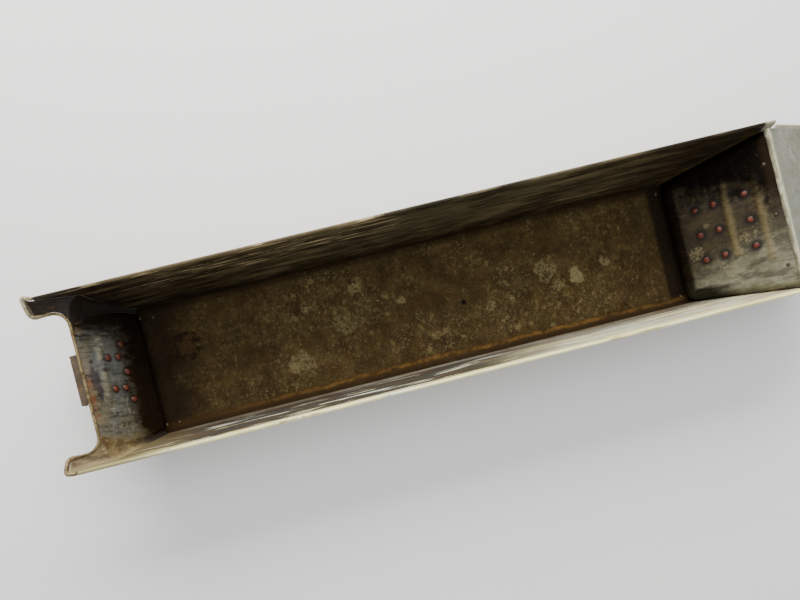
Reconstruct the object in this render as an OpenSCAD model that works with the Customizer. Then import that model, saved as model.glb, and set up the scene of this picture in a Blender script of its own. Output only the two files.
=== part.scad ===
// Sheet-metal sluice box: an open trough folded from galvanised sheet, with a riveted
// end plate at each end, wired rims, corner ears, iron hangers and a sloping discharge lip.
// Millimetres. X runs along the trough towards the discharge lip, Y across, Z up.
// The origin is the middle of the floor's underside, halfway between the two end seams.

/* [Trough] */
// Length of the flat floor between the two end seams
floor_len = 912; // [600:1:1200]
// Width of the floor, corner to corner inside
floor_w = 213; // [190:1:220]
// Width over the two wired rims
rim_w = 280; // [270:1:300]
// Height of the rims above the underside of the floor
rim_h = 140; // [138:1:150]
// Thickness of the sheet
sheet_t = 1.2; // [1:0.1:1.6]
// Radius of the folds, on the inside of the trough
fold_r = 14; // [10:1:18]
// Diameter of the wire rolled into each rim
wire_d = 3.2; // [2.4:0.1:4]
// Diameter of the nail hole in the floor
nail_hole_d = 4; // [2:0.5:6]

/* [Inlet end] */
// How far the inlet end plate leans out, floor to crest
inlet_run = 84; // [70:1:95]
// Height of the inlet crest above the underside of the floor
inlet_crest_h = 122; // [115:1:126]
// Length of the ears beyond the inlet crest
ear_len = 57; // [50:1:65]
// Width of an ear, rim to inner edge
ear_w = 25; // [20:1:30]
// Radius of the sweep from the crest into an ear
ear_sweep_r = 25; // [18:1:30]
// How far the far ear is splayed outwards at its tip
far_ear_splay = 9; // [0:1:12]
// How far the near ear is splayed outwards at its tip
near_ear_splay = 0; // [0:1:12]

/* [Discharge end] */
// How far the discharge end plate leans out, floor to crest
discharge_run = 155; // [140:1:165]
// Height of the discharge crest above the underside of the floor
discharge_crest_h = 134; // [130:1:136]
// Length of the discharge lip down its slope
lip_len = 108; // [60:1:140]
// Fall of the discharge lip below level, in degrees
lip_fall = 29; // [20:1:35]

/* [Hangers] */
// Thickness of the hanger iron
hanger_t = 3; // [2:0.5:4]
// Width of the hook on each hanger
hook_w = 80; // [60:1:90]
// Gap between the hook's lip and the top of its plate
hook_reach = 16; // [14:1:22]
// Drop of the hook's lip below its shelf
hook_drop = 20; // [12:1:26]

/* [Rivets] */
// Diameter of the copper rivets' heads
rivet_head_d = 12.5; // [10:0.5:14]
// Height of the copper rivets' heads
rivet_head_h = 2.6; // [1.5:0.1:4]
// Diameter of the copper rivets' shanks
rivet_shank_d = 5; // [4:0.5:6]
// Diameter of the small tinned rivets' heads
small_head_d = 7; // [5:0.5:9]
// Diameter of the small tinned rivets' shanks
small_shank_d = 3.5; // [2.5:0.5:4]

/* [Hidden] */
$fn = 48;
FIT = 0.05;
GAP = 0.15;
SUNK = 0.02;
BIG = 400;
wire_r = wire_d / 2;
curl_r = wire_r + sheet_t;
bead_r = 2.4;
side_tilt = atan((rim_w / 2 - 2 * curl_r - floor_w / 2) / (rim_h - curl_r - sheet_t));
rim_z = rim_h - curl_r;
rim_y = wall_y(rim_z) + (curl_r + 0.25) / cos(side_tilt);
side_len = (rim_z - sheet_t) / cos(side_tilt);
fold_back = fold_r * tan((90 - side_tilt) / 2);
flange_w = 18;
seam_x = floor_len / 2;

inlet_lean = atan(inlet_run / (inlet_crest_h - sheet_t));
inlet_slope = (inlet_crest_h - sheet_t) / cos(inlet_lean);
discharge_lean = atan(discharge_run / (discharge_crest_h - sheet_t));
discharge_slope = (discharge_crest_h - sheet_t) / cos(discharge_lean);
crest_x = plate_x(inlet_lean, inlet_slope - bead_r);
ear_z = plate_z(inlet_lean, inlet_slope - bead_r);
ear_y = rim_y - ear_w;
lip_x = -plate_x(discharge_lean, discharge_slope - bead_r);
lip_z = plate_z(discharge_lean, discharge_slope - bead_r);
walls_end_x = lip_x + 13;
ear_start_x = -seam_x - flange_w / cos(inlet_lean) - rim_h * tan(inlet_lean) - 1;
ear_steps = 14;
// Ends of the floor sheet, a flange's width outside the end plates
inlet_end_x = seam_x + flange_w / cos(inlet_lean);
discharge_end_x = seam_x + flange_w / cos(discharge_lean);

// Stations on an end plate: [distance up the slope from the seam, offset across]
inlet_rivet_at = concat(
    [for (y = [-47, 0, 47]) [67, 6 + y]],
    [for (s = [77, 96], y = [-26, 26]) [s, 6 + y]]
);
inlet_small_at = [for (y = [-26, 26]) [127, 3 + y]];
discharge_rivet_at = [for (s = [72, 102, 150], y = [-44, 0, 44]) [s, y - 1]];
lip_rivet_at = [for (y = [-84, 0, 84]) [187, y - 6]];
// Ridges on an end plate: [distance up the slope, offset across, length]
inlet_ridges = [[109, 8, 76]];
discharge_ridges = [[121, 9, 116], [169, -3, 132]];
ridge_r = 6.6;
ridge_h = 3;
inlet_hook_s = 140;
discharge_hook_s = 165;
inlet_foot_s = 57;
discharge_foot_s = 61;
foot_w = 112;
inlet_foot_h = 28;
discharge_foot_h = 101;
foot_cut = 5;
lip_leg = 24;
// Depth of the hangers' outer faces behind a plate's inner face
hanger_back = sheet_t + GAP + hanger_t;
burr_t = 1.2;

// Inner face of a side wall at height z
function wall_y(z) = floor_w / 2 + (z - sheet_t) * tan(side_tilt);
// A point on the middle of an inlet-side plate's thickness, s up its slope
function plate_x(lean, s) = -seam_x - s * sin(lean) - sheet_t / 2 * cos(lean);
function plate_z(lean, s) = sheet_t + s * cos(lean) - sheet_t / 2 * sin(lean);

// ---- frames ----
// Turns a drawing in the YZ plane into a bar along X, from x0 to x1
module along_x(x0, x1) {
    translate([x0, 0, 0]) rotate([90, 0, 90]) linear_extrude(x1 - x0) children();
}
// Frame on the inner face of an end plate: X out of the face into the trough, Z up the slope
module on_inlet() {
    translate([-seam_x, 0, sheet_t]) rotate([0, -inlet_lean, 0]) children();
}
module on_discharge() {
    mirror([1, 0, 0]) translate([-seam_x, 0, sheet_t]) rotate([0, -discharge_lean, 0]) children();
}
// Places a fastener, drawn with its axis on X, at each station of an end plate
module at_stations(stations) {
    for (s = stations) translate([0, s[1], s[0]]) children();
}
module round_bar(length, r) {
    rotate([90, 0, 0]) cylinder(h = length, r = r, center = true);
}

// ---- folded shell: the floor with its two folds, the side walls and the wire curls ----
module fold_section() {
    reach = 3 * fold_r;
    intersection() {
        difference() {
            circle(fold_r + sheet_t);
            circle(fold_r);
        }
        polygon([
            [0, 0],
            [0, -reach],
            [reach, -reach],
            [reach * cos(side_tilt), -reach * sin(side_tilt)]
        ]);
    }
}
module floor_section() {
    half_floor = floor_w / 2 - fold_back;
    translate([-half_floor, 0]) square([2 * half_floor, sheet_t]);
    translate([half_floor, sheet_t + fold_r]) fold_section();
    mirror([1, 0]) translate([half_floor, sheet_t + fold_r]) fold_section();
}
// A side wall laid flat, X along it by distance up it from the floor's corner line.
// Its foot is sunk into the end of the fold.
module side_outline() {
    high = side_len - 0.4;
    low = fold_back - 0.5;
    knee = (walls_end_x - discharge_end_x) / tan(discharge_lean) / cos(side_tilt);
    z_low = sheet_t + low * cos(side_tilt);
    z_high = sheet_t + high * cos(side_tilt);
    polygon([
        [-inlet_end_x - z_low * tan(inlet_lean), low],
        [-inlet_end_x - z_high * tan(inlet_lean), high],
        [walls_end_x, high],
        [walls_end_x, knee],
        [discharge_end_x + z_low * tan(discharge_lean), low]
    ]);
}
module side_wall() {
    translate([0, floor_w / 2, sheet_t]) rotate([-side_tilt, 0, 0])
        translate([0, sheet_t - SUNK, 0]) rotate([90, 0, 0])
            linear_extrude(sheet_t - 2 * SUNK) side_outline();
    translate([ear_start_x + 1, rim_y, rim_z]) rotate([0, 90, 0]) difference() {
        cylinder(h = walls_end_x - ear_start_x - 1, r = curl_r);
        translate([0, 0, -1]) cylinder(h = 3 * seam_x, r = wire_r + FIT);
    }
}
module trough_shell() {
    color("darkkhaki") difference() {
        union() {
            along_x(-inlet_end_x - fold_r * tan(inlet_lean), discharge_end_x + fold_r * tan(discharge_lean))
                floor_section();
            side_wall();
            mirror([0, 1, 0]) side_wall();
        }
        translate([88, -10, -1]) cylinder(h = sheet_t + 2, d = nail_hole_d);
        translate([203, -58, -1]) cylinder(h = sheet_t + 2, d = nail_hole_d / 2);
    }
}
module rim_wire(side) {
    x0 = ear_start_x + 6;
    translate([x0, side * rim_y, rim_z]) rotate([0, 90, 0]) cylinder(h = walls_end_x - 2 - x0, r = wire_r);
}
module far_rim_wire() {
    color("dimgray") rim_wire(1);
}
module near_rim_wire() {
    color("dimgray") rim_wire(-1);
}

// ---- end plates ----
// The rounded block that an end plate's sheet is dressed over, drawn for the inlet end
module forming_block(lean, r) {
    low = sheet_t + GAP + fold_r;
    hull() for (side = [-1, 1], out = [0, 60], z = [low, rim_h + 30]) {
        x = -seam_x - (z - sheet_t) * tan(lean) - fold_r / cos(lean) - out;
        y = wall_y(z) - (fold_r + GAP) / cos(side_tilt);
        translate([x, side * y, z]) sphere(r, $fn = 32);
    }
}
// Half-round ridge with round ends, standing proud of the plate's inner face
module ridge(length) {
    intersection() {
        translate([ridge_h - ridge_r, 0, 0]) {
            round_bar(length, ridge_r);
            for (side = [-1, 1]) translate([0, side * length / 2, 0]) sphere(ridge_r);
        }
        translate([-sheet_t / 2, -length, -10]) cube([10, 2 * length, 20]);
    }
}
module end_plate(lean, top, reach, ridges) {
    difference() {
        intersection() {
            forming_block(lean, fold_r);
            translate([-seam_x, 0, sheet_t]) rotate([0, -lean, 0])
                translate([-flange_w, -BIG, -50]) cube([50, 2 * BIG, top + 50]);
            translate([-reach, -BIG, 0]) cube([2 * BIG, 2 * BIG, BIG]);
        }
        forming_block(lean, fold_r - sheet_t);
    }
    translate([-seam_x, 0, sheet_t]) rotate([0, -lean, 0])
        for (g = ridges) translate([0, g[1], g[0]]) ridge(g[2]);
}
module hole(d) {
    translate([-12, 0, 0]) rotate([0, 90, 0]) cylinder(h = 24, d = d + 2 * FIT);
}
module inlet_end_plate() {
    color("darkkhaki") difference() {
        end_plate(inlet_lean, inlet_slope - 2 * bead_r, BIG * 2, inlet_ridges);
        on_inlet() at_stations(inlet_rivet_at) hole(rivet_shank_d);
        on_inlet() at_stations(inlet_small_at) hole(small_shank_d);
    }
}
module discharge_end_plate() {
    top = discharge_slope - 2 * bead_r - sheet_t - GAP;
    color("darkkhaki") difference() {
        mirror([1, 0, 0]) end_plate(discharge_lean, top, walls_end_x, discharge_ridges);
        on_discharge() at_stations(discharge_rivet_at) hole(rivet_shank_d);
        on_discharge() at_stations(lip_rivet_at) hole(small_shank_d);
    }
}

// ---- ears: sheet gussets from the crest out to the rims ----
// Both edges of an ear on the far side at u from 0 at the crest to 1 at the tip
function sweep_angle(u) = 90 * min(1, u / 0.5);
function ear_inner(u, r) = [
    crest_x - ear_sweep_r + r * cos(sweep_angle(u)) - (ear_len - 2 - ear_sweep_r) * max(0, 2 * u - 1),
    ear_y - ear_sweep_r + r * sin(sweep_angle(u)),
    ear_z + 0.6
];
function ear_rise(u) = let (v = min(1, u / 0.55)) v * v * (3 - 2 * v);
function splay_at(x, splay) = splay * pow(max(0, (ear_start_x - x) / (ear_start_x - crest_x + ear_len)), 2);
function ear_outer(u, splay) =
    let (z = ear_z + 0.6 + (rim_z - 1.6 - ear_z) * ear_rise(u), x = crest_x + 1 - (ear_len - 1) * u)
    [x, wall_y(z) - 0.4 + splay_at(x, splay), z];
module ear(splay) {
    n = ear_steps + 1;
    inner = [for (k = [0:ear_steps]) ear_inner(k / ear_steps, ear_sweep_r + bead_r)];
    outer = [for (k = [0:ear_steps]) ear_outer(k / ear_steps, splay)];
    down = [0, 0, sheet_t];
    points = concat(inner, outer, [for (p = inner) p - down], [for (p = outer) p - down]);
    strips = [for (k = [0:n - 2]) each [
        [k, k + 1, n + k + 1], [k, n + k + 1, n + k],
        [2 * n + k, 3 * n + k + 1, 2 * n + k + 1], [2 * n + k, 3 * n + k, 3 * n + k + 1],
        [k, 2 * n + k + 1, k + 1], [k, 2 * n + k, 2 * n + k + 1],
        [n + k, n + k + 1, 3 * n + k + 1], [n + k, 3 * n + k + 1, 3 * n + k]
    ]];
    ends = [
        [0, n, 3 * n], [0, 3 * n, 2 * n],
        [n - 1, 4 * n - 1, 2 * n - 1], [n - 1, 3 * n - 1, 4 * n - 1]
    ];
    polyhedron(points, concat(strips, ends));
}
module far_ear() {
    color("khaki") ear(far_ear_splay);
}
module near_ear() {
    color("khaki") mirror([0, 1, 0]) ear(near_ear_splay);
}

// ---- bound edges ----
function unit(v) = v / norm(v);
// Round tube of radius r along the points p, as rings of n sides joined by triangles
module tube(p, r, n) {
    last = len(p) - 1;
    rings = [for (i = [0:last]) let (
        along = unit(p[min(i + 1, last)] - p[max(i - 1, 0)]),
        flat = unit(cross([0, 0, 1], along)),
        up = cross(along, flat)
    ) each [for (k = [0:n - 1]) p[i] + r * (cos(360 * k / n) * flat + sin(360 * k / n) * up)]];
    walls = [for (i = [0:last - 1], k = [0:n - 1]) let (a = i * n + k, b = i * n + (k + 1) % n) each [
        [a, a + n, b], [b, a + n, b + n]
    ]];
    start = [for (k = [1:n - 2]) [0, k, k + 1]];
    end = [for (k = [1:n - 2]) [last * n, last * n + k + 1, last * n + k]];
    polyhedron(rings, concat(walls, start, end));
}
// Half of the inlet's bound edge: half the crest, round the sweep and round the ear's tip
function edge_path(splay) = let (tip_x = crest_x - ear_len + 1) concat(
    [for (k = [0:7]) ear_inner(k / 14, ear_sweep_r) - [0, 0, 0.6]],
    [
        [tip_x + 5, ear_y, ear_z],
        [tip_x + 1.5, ear_y + 2, ear_z + 1.5],
        [tip_x, ear_y + 5, ear_z + 4],
        [tip_x - 1, rim_y - 6 + splay * 0.9, rim_z - 3],
        [tip_x, rim_y - 2.5 + splay * 0.9, rim_z - 1],
        [tip_x + 3, rim_y - 1 + splay * 0.85, rim_z],
        [ear_start_x - 1.5, rim_y - 0.4, rim_z]
    ]
);
function flip_y(p) = [p[0], -p[1], p[2]];
module inlet_edge_wire() {
    far = edge_path(far_ear_splay);
    near = edge_path(near_ear_splay);
    last = len(near) - 1;
    color("lemonchiffon") tube(concat([for (i = [last:-1:0]) flip_y(near[i])], far), bead_r, 16);
}
module discharge_crest_wire() {
    color("lemonchiffon") translate([lip_x, 0, lip_z]) round_bar(2 * wall_y(lip_z) - 8, bead_r);
}

// ---- discharge lip ----
// Frame on the crest wire: X down the lip, Z square to it
module on_lip() {
    translate([lip_x, 0, lip_z]) rotate([0, lip_fall, 0]) children();
}
module lip_plan() {
    half = rim_y - bead_r;
    neck = wall_y(lip_z) - 3;
    polygon([
        [0, -neck], [17, -neck], [24, -half], [lip_len, -half],
        [lip_len, half], [24, half], [17, neck], [0, neck]
    ]);
}
module discharge_lip() {
    over = bead_r + FIT;
    mid = over + sheet_t / 2 - 0.2;
    neck = wall_y(lip_z) - 3;
    color("gainsboro") difference() {
        union() {
            on_lip() translate([0, 0, mid - sheet_t / 2]) linear_extrude(sheet_t) lip_plan();
            on_lip() round_bar(2 * neck, over + sheet_t);
            on_discharge() translate([-2 * sheet_t - GAP, 14 - neck, discharge_slope - lip_leg - 5])
                cube([sheet_t, 2 * neck - 28, lip_leg]);
            for (side = [-1, 1]) on_lip() translate([24, side * (rim_y - bead_r), mid])
                rotate([0, 90, 0]) cylinder(h = lip_len - 24, r = bead_r);
            on_lip() translate([lip_len, 0, mid]) round_bar(2 * rim_y, curl_r);
        }
        on_lip() round_bar(2 * rim_w, over);
        on_lip() translate([lip_len, 0, mid]) round_bar(2 * rim_w, wire_r + FIT);
        on_discharge() at_stations(lip_rivet_at) hole(small_shank_d);
    }
}
module discharge_lip_wire() {
    color("dimgray") on_lip() translate([lip_len, 0, bead_r + FIT + sheet_t / 2 - 0.2])
        round_bar(2 * rim_y - 2, wire_r);
}

// ---- hangers: riveted irons, each with a hook that drops over a cross rail ----
// Outline of a hanger's plate, across by up the slope, with clipped corners
module hanger_plan(foot_s, foot_h, top_s, shift) {
    half = foot_w / 2;
    translate([shift, 0]) polygon([
        [foot_cut - half, foot_s],
        [half - foot_cut, foot_s],
        [half, foot_s + foot_cut],
        [half, foot_s + foot_h - foot_cut],
        [half - foot_cut, foot_s + foot_h],
        [hook_w / 2, foot_s + foot_h],
        [hook_w / 2, top_s],
        [-hook_w / 2, top_s],
        [-hook_w / 2, foot_s + foot_h],
        [foot_cut - half, foot_s + foot_h],
        [-half, foot_s + foot_h - foot_cut],
        [-half, foot_s + foot_cut]
    ]);
}
module hanger(lean, foot_s, foot_h, top_s, shift) {
    back = sheet_t + GAP;
    width = hook_w - 0.4;
    x_top = -top_s * sin(lean) - back * cos(lean);
    z_top = top_s * cos(lean) - back * sin(lean) - 0.3;
    lip_at = x_top - hook_reach - hanger_t;
    rotate([0, -lean, 0]) translate([-hanger_back, 0, 0]) rotate([90, 0, 90])
        linear_extrude(hanger_t) hanger_plan(foot_s, foot_h, top_s, shift);
    translate([lip_at, shift - width / 2, z_top - hanger_t])
        cube([hook_reach + hanger_t, width, hanger_t]);
    translate([lip_at, shift - width / 2, z_top - hook_drop])
        cube([hanger_t, width, hook_drop]);
}
module inlet_hanger() {
    color("saddlebrown") difference() {
        translate([-seam_x, 0, sheet_t])
            hanger(inlet_lean, inlet_foot_s, inlet_foot_h, inlet_hook_s, 3);
        on_inlet() at_stations(inlet_rivet_at) hole(rivet_shank_d);
        on_inlet() at_stations(inlet_small_at) hole(small_shank_d);
    }
}
module discharge_hanger() {
    color("saddlebrown") difference() {
        mirror([1, 0, 0]) translate([-seam_x, 0, sheet_t])
            hanger(discharge_lean, discharge_foot_s, discharge_foot_h, discharge_hook_s, -1);
        on_discharge() at_stations(discharge_rivet_at) hole(rivet_shank_d);
    }
}

// ---- rivets, drawn with the axis on X and the head on the trough's side ----
// Half outline of a domed cap of diameter d and height h, standing on y = 0
module cap_outline(d, h) {
    r = (h * h + d * d / 4) / (2 * h);
    intersection() {
        translate([0, h - r]) circle(r);
        square([d, 2 * h]);
    }
}
module cap(d, h) {
    rotate([0, 90, 0]) rotate_extrude() cap_outline(d, h);
}
module rivet(head_d, head_h, shank_d, grip) {
    rotate([0, 90, 0]) rotate_extrude() {
        cap_outline(head_d, head_h);
        translate([0, -grip]) square([shank_d / 2, grip]);
        translate([0, -grip]) mirror([0, 1]) cap_outline(shank_d * 1.6, shank_d * 0.4);
    }
}
module rivet_burr() {
    translate([-hanger_back - burr_t, 0, 0]) rotate([0, 90, 0]) difference() {
        cylinder(h = burr_t, d = rivet_head_d - 1.5);
        translate([0, 0, -1]) cylinder(h = burr_t + 2, d = rivet_shank_d + 2 * FIT);
    }
}
module copper_rivet() {
    rivet(rivet_head_d, rivet_head_h, rivet_shank_d, hanger_back + burr_t);
}
module inlet_rivets() {
    color("sienna") on_inlet() at_stations(inlet_rivet_at) copper_rivet();
}
module discharge_rivets() {
    color("sienna") on_discharge() at_stations(discharge_rivet_at) copper_rivet();
}
module inlet_rivet_burrs() {
    color("peru") on_inlet() at_stations(inlet_rivet_at) rivet_burr();
}
module discharge_rivet_burrs() {
    color("peru") on_discharge() at_stations(discharge_rivet_at) rivet_burr();
}
module inlet_small_rivets() {
    color("silver") on_inlet() at_stations(inlet_small_at)
        rivet(small_head_d, 1.6, small_shank_d, hanger_back);
}
module discharge_lip_rivets() {
    color("silver") on_discharge() at_stations(lip_rivet_at)
        rivet(small_head_d, 1.6, small_shank_d, 2 * sheet_t + GAP);
}

// ---- solder tacks either side of each end seam, by the corners ----
module seam_tacks(lean) {
    for (side = [-1, 1]) {
        translate([-seam_x + 7, side * (floor_w / 2 - 12), sheet_t]) rotate([0, -90, 0]) cap(6, 1.4);
        translate([-seam_x, 0, sheet_t]) rotate([0, -lean, 0])
            translate([0, side * (floor_w / 2 - 12), 17]) cap(6, 1.4);
    }
}
module inlet_seam_tacks() {
    color("silver") seam_tacks(inlet_lean);
}
module discharge_seam_tacks() {
    color("silver") mirror([1, 0, 0]) seam_tacks(discharge_lean);
}

trough_shell();
inlet_end_plate();
discharge_end_plate();
far_rim_wire();
near_rim_wire();
far_ear();
near_ear();
inlet_edge_wire();
discharge_crest_wire();
discharge_lip();
discharge_lip_wire();
inlet_hanger();
discharge_hanger();
inlet_rivets();
discharge_rivets();
inlet_rivet_burrs();
discharge_rivet_burrs();
inlet_small_rivets();
discharge_lip_rivets();
inlet_seam_tacks();
discharge_seam_tacks();
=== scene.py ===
import math

import bpy
import numpy as np
from mathutils import Matrix, Vector


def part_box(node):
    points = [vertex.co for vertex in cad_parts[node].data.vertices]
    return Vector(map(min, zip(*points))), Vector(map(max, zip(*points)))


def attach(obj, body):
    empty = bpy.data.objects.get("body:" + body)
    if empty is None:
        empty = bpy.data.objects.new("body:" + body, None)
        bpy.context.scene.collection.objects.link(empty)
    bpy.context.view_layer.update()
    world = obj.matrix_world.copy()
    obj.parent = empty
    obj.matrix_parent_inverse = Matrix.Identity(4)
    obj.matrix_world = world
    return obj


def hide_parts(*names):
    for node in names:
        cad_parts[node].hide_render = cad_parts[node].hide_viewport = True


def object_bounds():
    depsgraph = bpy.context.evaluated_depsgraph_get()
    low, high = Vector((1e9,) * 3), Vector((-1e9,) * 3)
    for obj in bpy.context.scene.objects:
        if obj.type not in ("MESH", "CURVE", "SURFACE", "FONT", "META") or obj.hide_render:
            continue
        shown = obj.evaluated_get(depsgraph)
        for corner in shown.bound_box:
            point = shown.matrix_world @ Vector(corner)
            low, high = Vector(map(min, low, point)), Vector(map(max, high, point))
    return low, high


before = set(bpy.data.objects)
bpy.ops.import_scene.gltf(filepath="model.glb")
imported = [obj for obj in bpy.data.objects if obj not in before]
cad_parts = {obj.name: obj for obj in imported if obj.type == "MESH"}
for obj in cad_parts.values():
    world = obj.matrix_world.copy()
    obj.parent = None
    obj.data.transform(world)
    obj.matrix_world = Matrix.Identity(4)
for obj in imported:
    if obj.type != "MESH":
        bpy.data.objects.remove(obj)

# A galvanised sheet-metal sluice box, in metres: X along the trough towards the discharge lip,
# Y across it towards the far side, Z up out of it.
CAD_BOX = [list(corner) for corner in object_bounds()]
MM = 0.001
BODY = "root"

# ---- driving sizes, the same as the part's ----
SHEET = 1.2 * MM
FLOOR_W = 213 * MM
SEAM_X = 456 * MM
FOLD_R = 14 * MM
FLANGE = 18 * MM
GAP = 0.15 * MM
CURL_FIT = 0.25 * MM
LIP_CLEAR = 0.45 * MM
INLET_RUN, INLET_CREST = 84 * MM, 122 * MM
DISCHARGE_RUN, DISCHARGE_CREST = 155 * MM, 134 * MM
EAR_LEN, EAR_W, EAR_SWEEP = 57 * MM, 25 * MM, 25 * MM
FAR_SPLAY = 9 * MM
BEAD_R = 2.4 * MM
HANGER_T = 3 * MM
HOOK_W, FOOT_W = 79.6 * MM, 112 * MM
HOOK_SHELF, HOOK_DROP = 19 * MM, 20 * MM
RIVET_D, RIVET_H, SHANK_D = 12.5 * MM, 2.6 * MM, 5 * MM
SMALL_D, SMALL_H, SMALL_SHANK_D = 7 * MM, 1.6 * MM, 3.5 * MM


def middle(node):
    low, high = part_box(node)
    return (low + high) / 2


# ---- sizes worked out from the frame's boxes ----
RIM = middle("far_rim_wire")
CREST = middle("discharge_crest_wire")
LIP_WIRE = middle("discharge_lip_wire")
WIRE_R = (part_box("far_rim_wire")[1].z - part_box("far_rim_wire")[0].z) / 2
CURL_R = WIRE_R + SHEET
WALLS_END_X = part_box("trough_shell")[1].x
EARS_START_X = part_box("trough_shell")[0].x
rim_reach = math.hypot(RIM.y - FLOOR_W / 2, RIM.z - SHEET)
SIDE_TILT = math.atan2(RIM.y - FLOOR_W / 2, RIM.z - SHEET) - math.asin((CURL_R + CURL_FIT) / rim_reach)
INLET_LEAN = math.atan2(INLET_RUN, INLET_CREST - SHEET)
DISCHARGE_LEAN = math.atan2(DISCHARGE_RUN, DISCHARGE_CREST - SHEET)
INLET_SLOPE = math.hypot(INLET_RUN, INLET_CREST - SHEET)
DISCHARGE_SLOPE = math.hypot(DISCHARGE_RUN, DISCHARGE_CREST - SHEET)
LIP_RISE = BEAD_R + LIP_CLEAR
LIP_LEN = math.sqrt((LIP_WIRE.x - CREST.x) ** 2 + (LIP_WIRE.z - CREST.z) ** 2 - LIP_RISE ** 2)
LIP_FALL = math.atan2(CREST.z - LIP_WIRE.z, LIP_WIRE.x - CREST.x) + math.atan2(LIP_RISE, LIP_LEN)


def wall_y(z):
    """Inner face of a side wall at height z: it leans out from the floor's corner line."""
    return FLOOR_W / 2 + (z - SHEET) * math.tan(SIDE_TILT)


class Plate:
    """Frame of an end plate: origin on the seam, s up the slope, n out of the face into the trough."""

    def __init__(self, side, lean, slope):
        self.side, self.lean, self.slope = side, lean, slope
        self.up = np.array([side * math.sin(lean), 0, math.cos(lean)])
        self.out = np.array([-side * math.cos(lean), 0, math.sin(lean)])
        self.origin = np.array([side * SEAM_X, 0, SHEET])

    def point(self, s, y, n=0.0):
        s, y, n = np.broadcast_arrays(s, y, n)
        flat = self.origin + s[..., None] * self.up + n[..., None] * self.out
        return flat + y[..., None] * np.array([0, 1.0, 0])


INLET = Plate(-1, INLET_LEAN, INLET_SLOPE)
DISCHARGE = Plate(1, DISCHARGE_LEAN, DISCHARGE_SLOPE)

# Stations on the end plates: distance up the slope from the seam, offset across
INLET_RIVETS = np.array([(67, -41), (67, 6), (67, 53), (77, -20), (77, 32), (96, -20), (96, 32)]) * MM
INLET_SMALL = np.array([(127, -23), (127, 29)]) * MM
DISCHARGE_RIVETS = np.array([(s, y) for s in (72, 102, 150) for y in (-45, -1, 43)]) * MM
LIP_RIVETS = np.array([(187, y) for y in (-90, -6, 78)]) * MM
INLET_RIDGES = np.array([(109, 8, 76)]) * MM
DISCHARGE_RIDGES = np.array([(121, 9, 116), (169, -3, 132)]) * MM


# ---- mesh work ----
def ripple(points, seed, wavelengths=(0.03, 0.18), count=28):
    """Hand-worked unevenness from -1 to 1: a sum of plane sine waves with random directions, each as
    strong as its wavelength is long."""
    rng = np.random.default_rng(seed)
    length = rng.uniform(*wavelengths, count)
    way = rng.normal(size=(count, 3))
    way *= (2 * np.pi / length / np.linalg.norm(way, axis=1))[:, None]
    waves = np.sin(points @ way.T + rng.uniform(0, 2 * np.pi, count)) * length
    return waves.sum(-1) / (0.5 * length.sum())


def smooth(t):
    t = np.clip(t, 0, 1)
    return t * t * (3 - 2 * t)


def bent_strip(start, heading, segments):
    """A strip bent along its length, as (n, 2) points: each segment (length, turn, steps) turns the
    heading evenly, and each chord is its arc times sin(half turn) / (half turn)."""
    step, turn = [], []
    for length, angle, count in segments:
        step += [length / count] * count
        turn += [angle / count] * count
    step, turn = np.array(step), np.array(turn)
    half_way = heading + np.cumsum(turn) - turn / 2
    chord = step * np.sinc(turn / 2 / np.pi)
    moves = chord[:, None] * np.stack([np.cos(half_way), np.sin(half_way)], 1)
    return np.vstack([start, start + np.cumsum(moves, 0)])


def grid_quads(rows, cols, wrap=False):
    r, c = np.meshgrid(np.arange(rows - 1), np.arange(cols if wrap else cols - 1), indexing="ij")
    d = (c + 1) % cols
    return np.stack([r * cols + c, (r + 1) * cols + c, (r + 1) * cols + d, r * cols + d], -1)


def turned_out(part):
    """Turns a closed part's faces outwards, by the sign of its volume."""
    v, quads, tris = part["verts"], part["quads"], part["tris"]
    corners = np.vstack([quads[:, [0, 1, 2]], quads[:, [0, 2, 3]], tris])
    a, b, c = v[corners[:, 0]], v[corners[:, 1]], v[corners[:, 2]]
    if np.einsum("ij,ij->", a, np.cross(b, c)) < 0:
        part["quads"], part["tris"] = quads[:, ::-1], tris[:, ::-1]
    return part


def sheet_part(face, thickness, towards, values=None):
    """A sheet with thickness: the grid of points `face`, the same grid set back along its normals, and
    the edges between. `towards` is a direction that the face looks in at its middle."""
    rows, cols = face.shape[:2]
    normal = np.cross(np.gradient(face, axis=0), np.gradient(face, axis=1))
    normal /= np.maximum(np.linalg.norm(normal, axis=-1, keepdims=True), 1e-12)
    if normal[rows // 2, cols // 2] @ np.array(towards) < 0:
        normal = -normal
    back = face - normal * thickness
    verts = np.concatenate([face.reshape(-1, 3), back.reshape(-1, 3)])
    half = rows * cols
    front = grid_quads(rows, cols).reshape(-1, 4)
    lines = np.arange(half).reshape(rows, cols)
    edge = np.concatenate([lines[:-1, 0], lines[-1, :-1], lines[:0:-1, -1], lines[0, :0:-1]])
    nxt = np.roll(edge, -1)
    rim = np.stack([edge, edge + half, nxt + half, nxt], 1)
    quads = np.vstack([front, front[:, ::-1] + half, rim])
    inside = np.zeros(len(quads), int)
    inside[len(front):] = 1
    doubled = {k: np.tile(v.ravel(), 2) for k, v in (values or {}).items()}
    part = dict(verts=verts, quads=quads, tris=np.zeros((0, 3), int), inside=inside, values=doubled)
    return turned_out(part)


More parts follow.
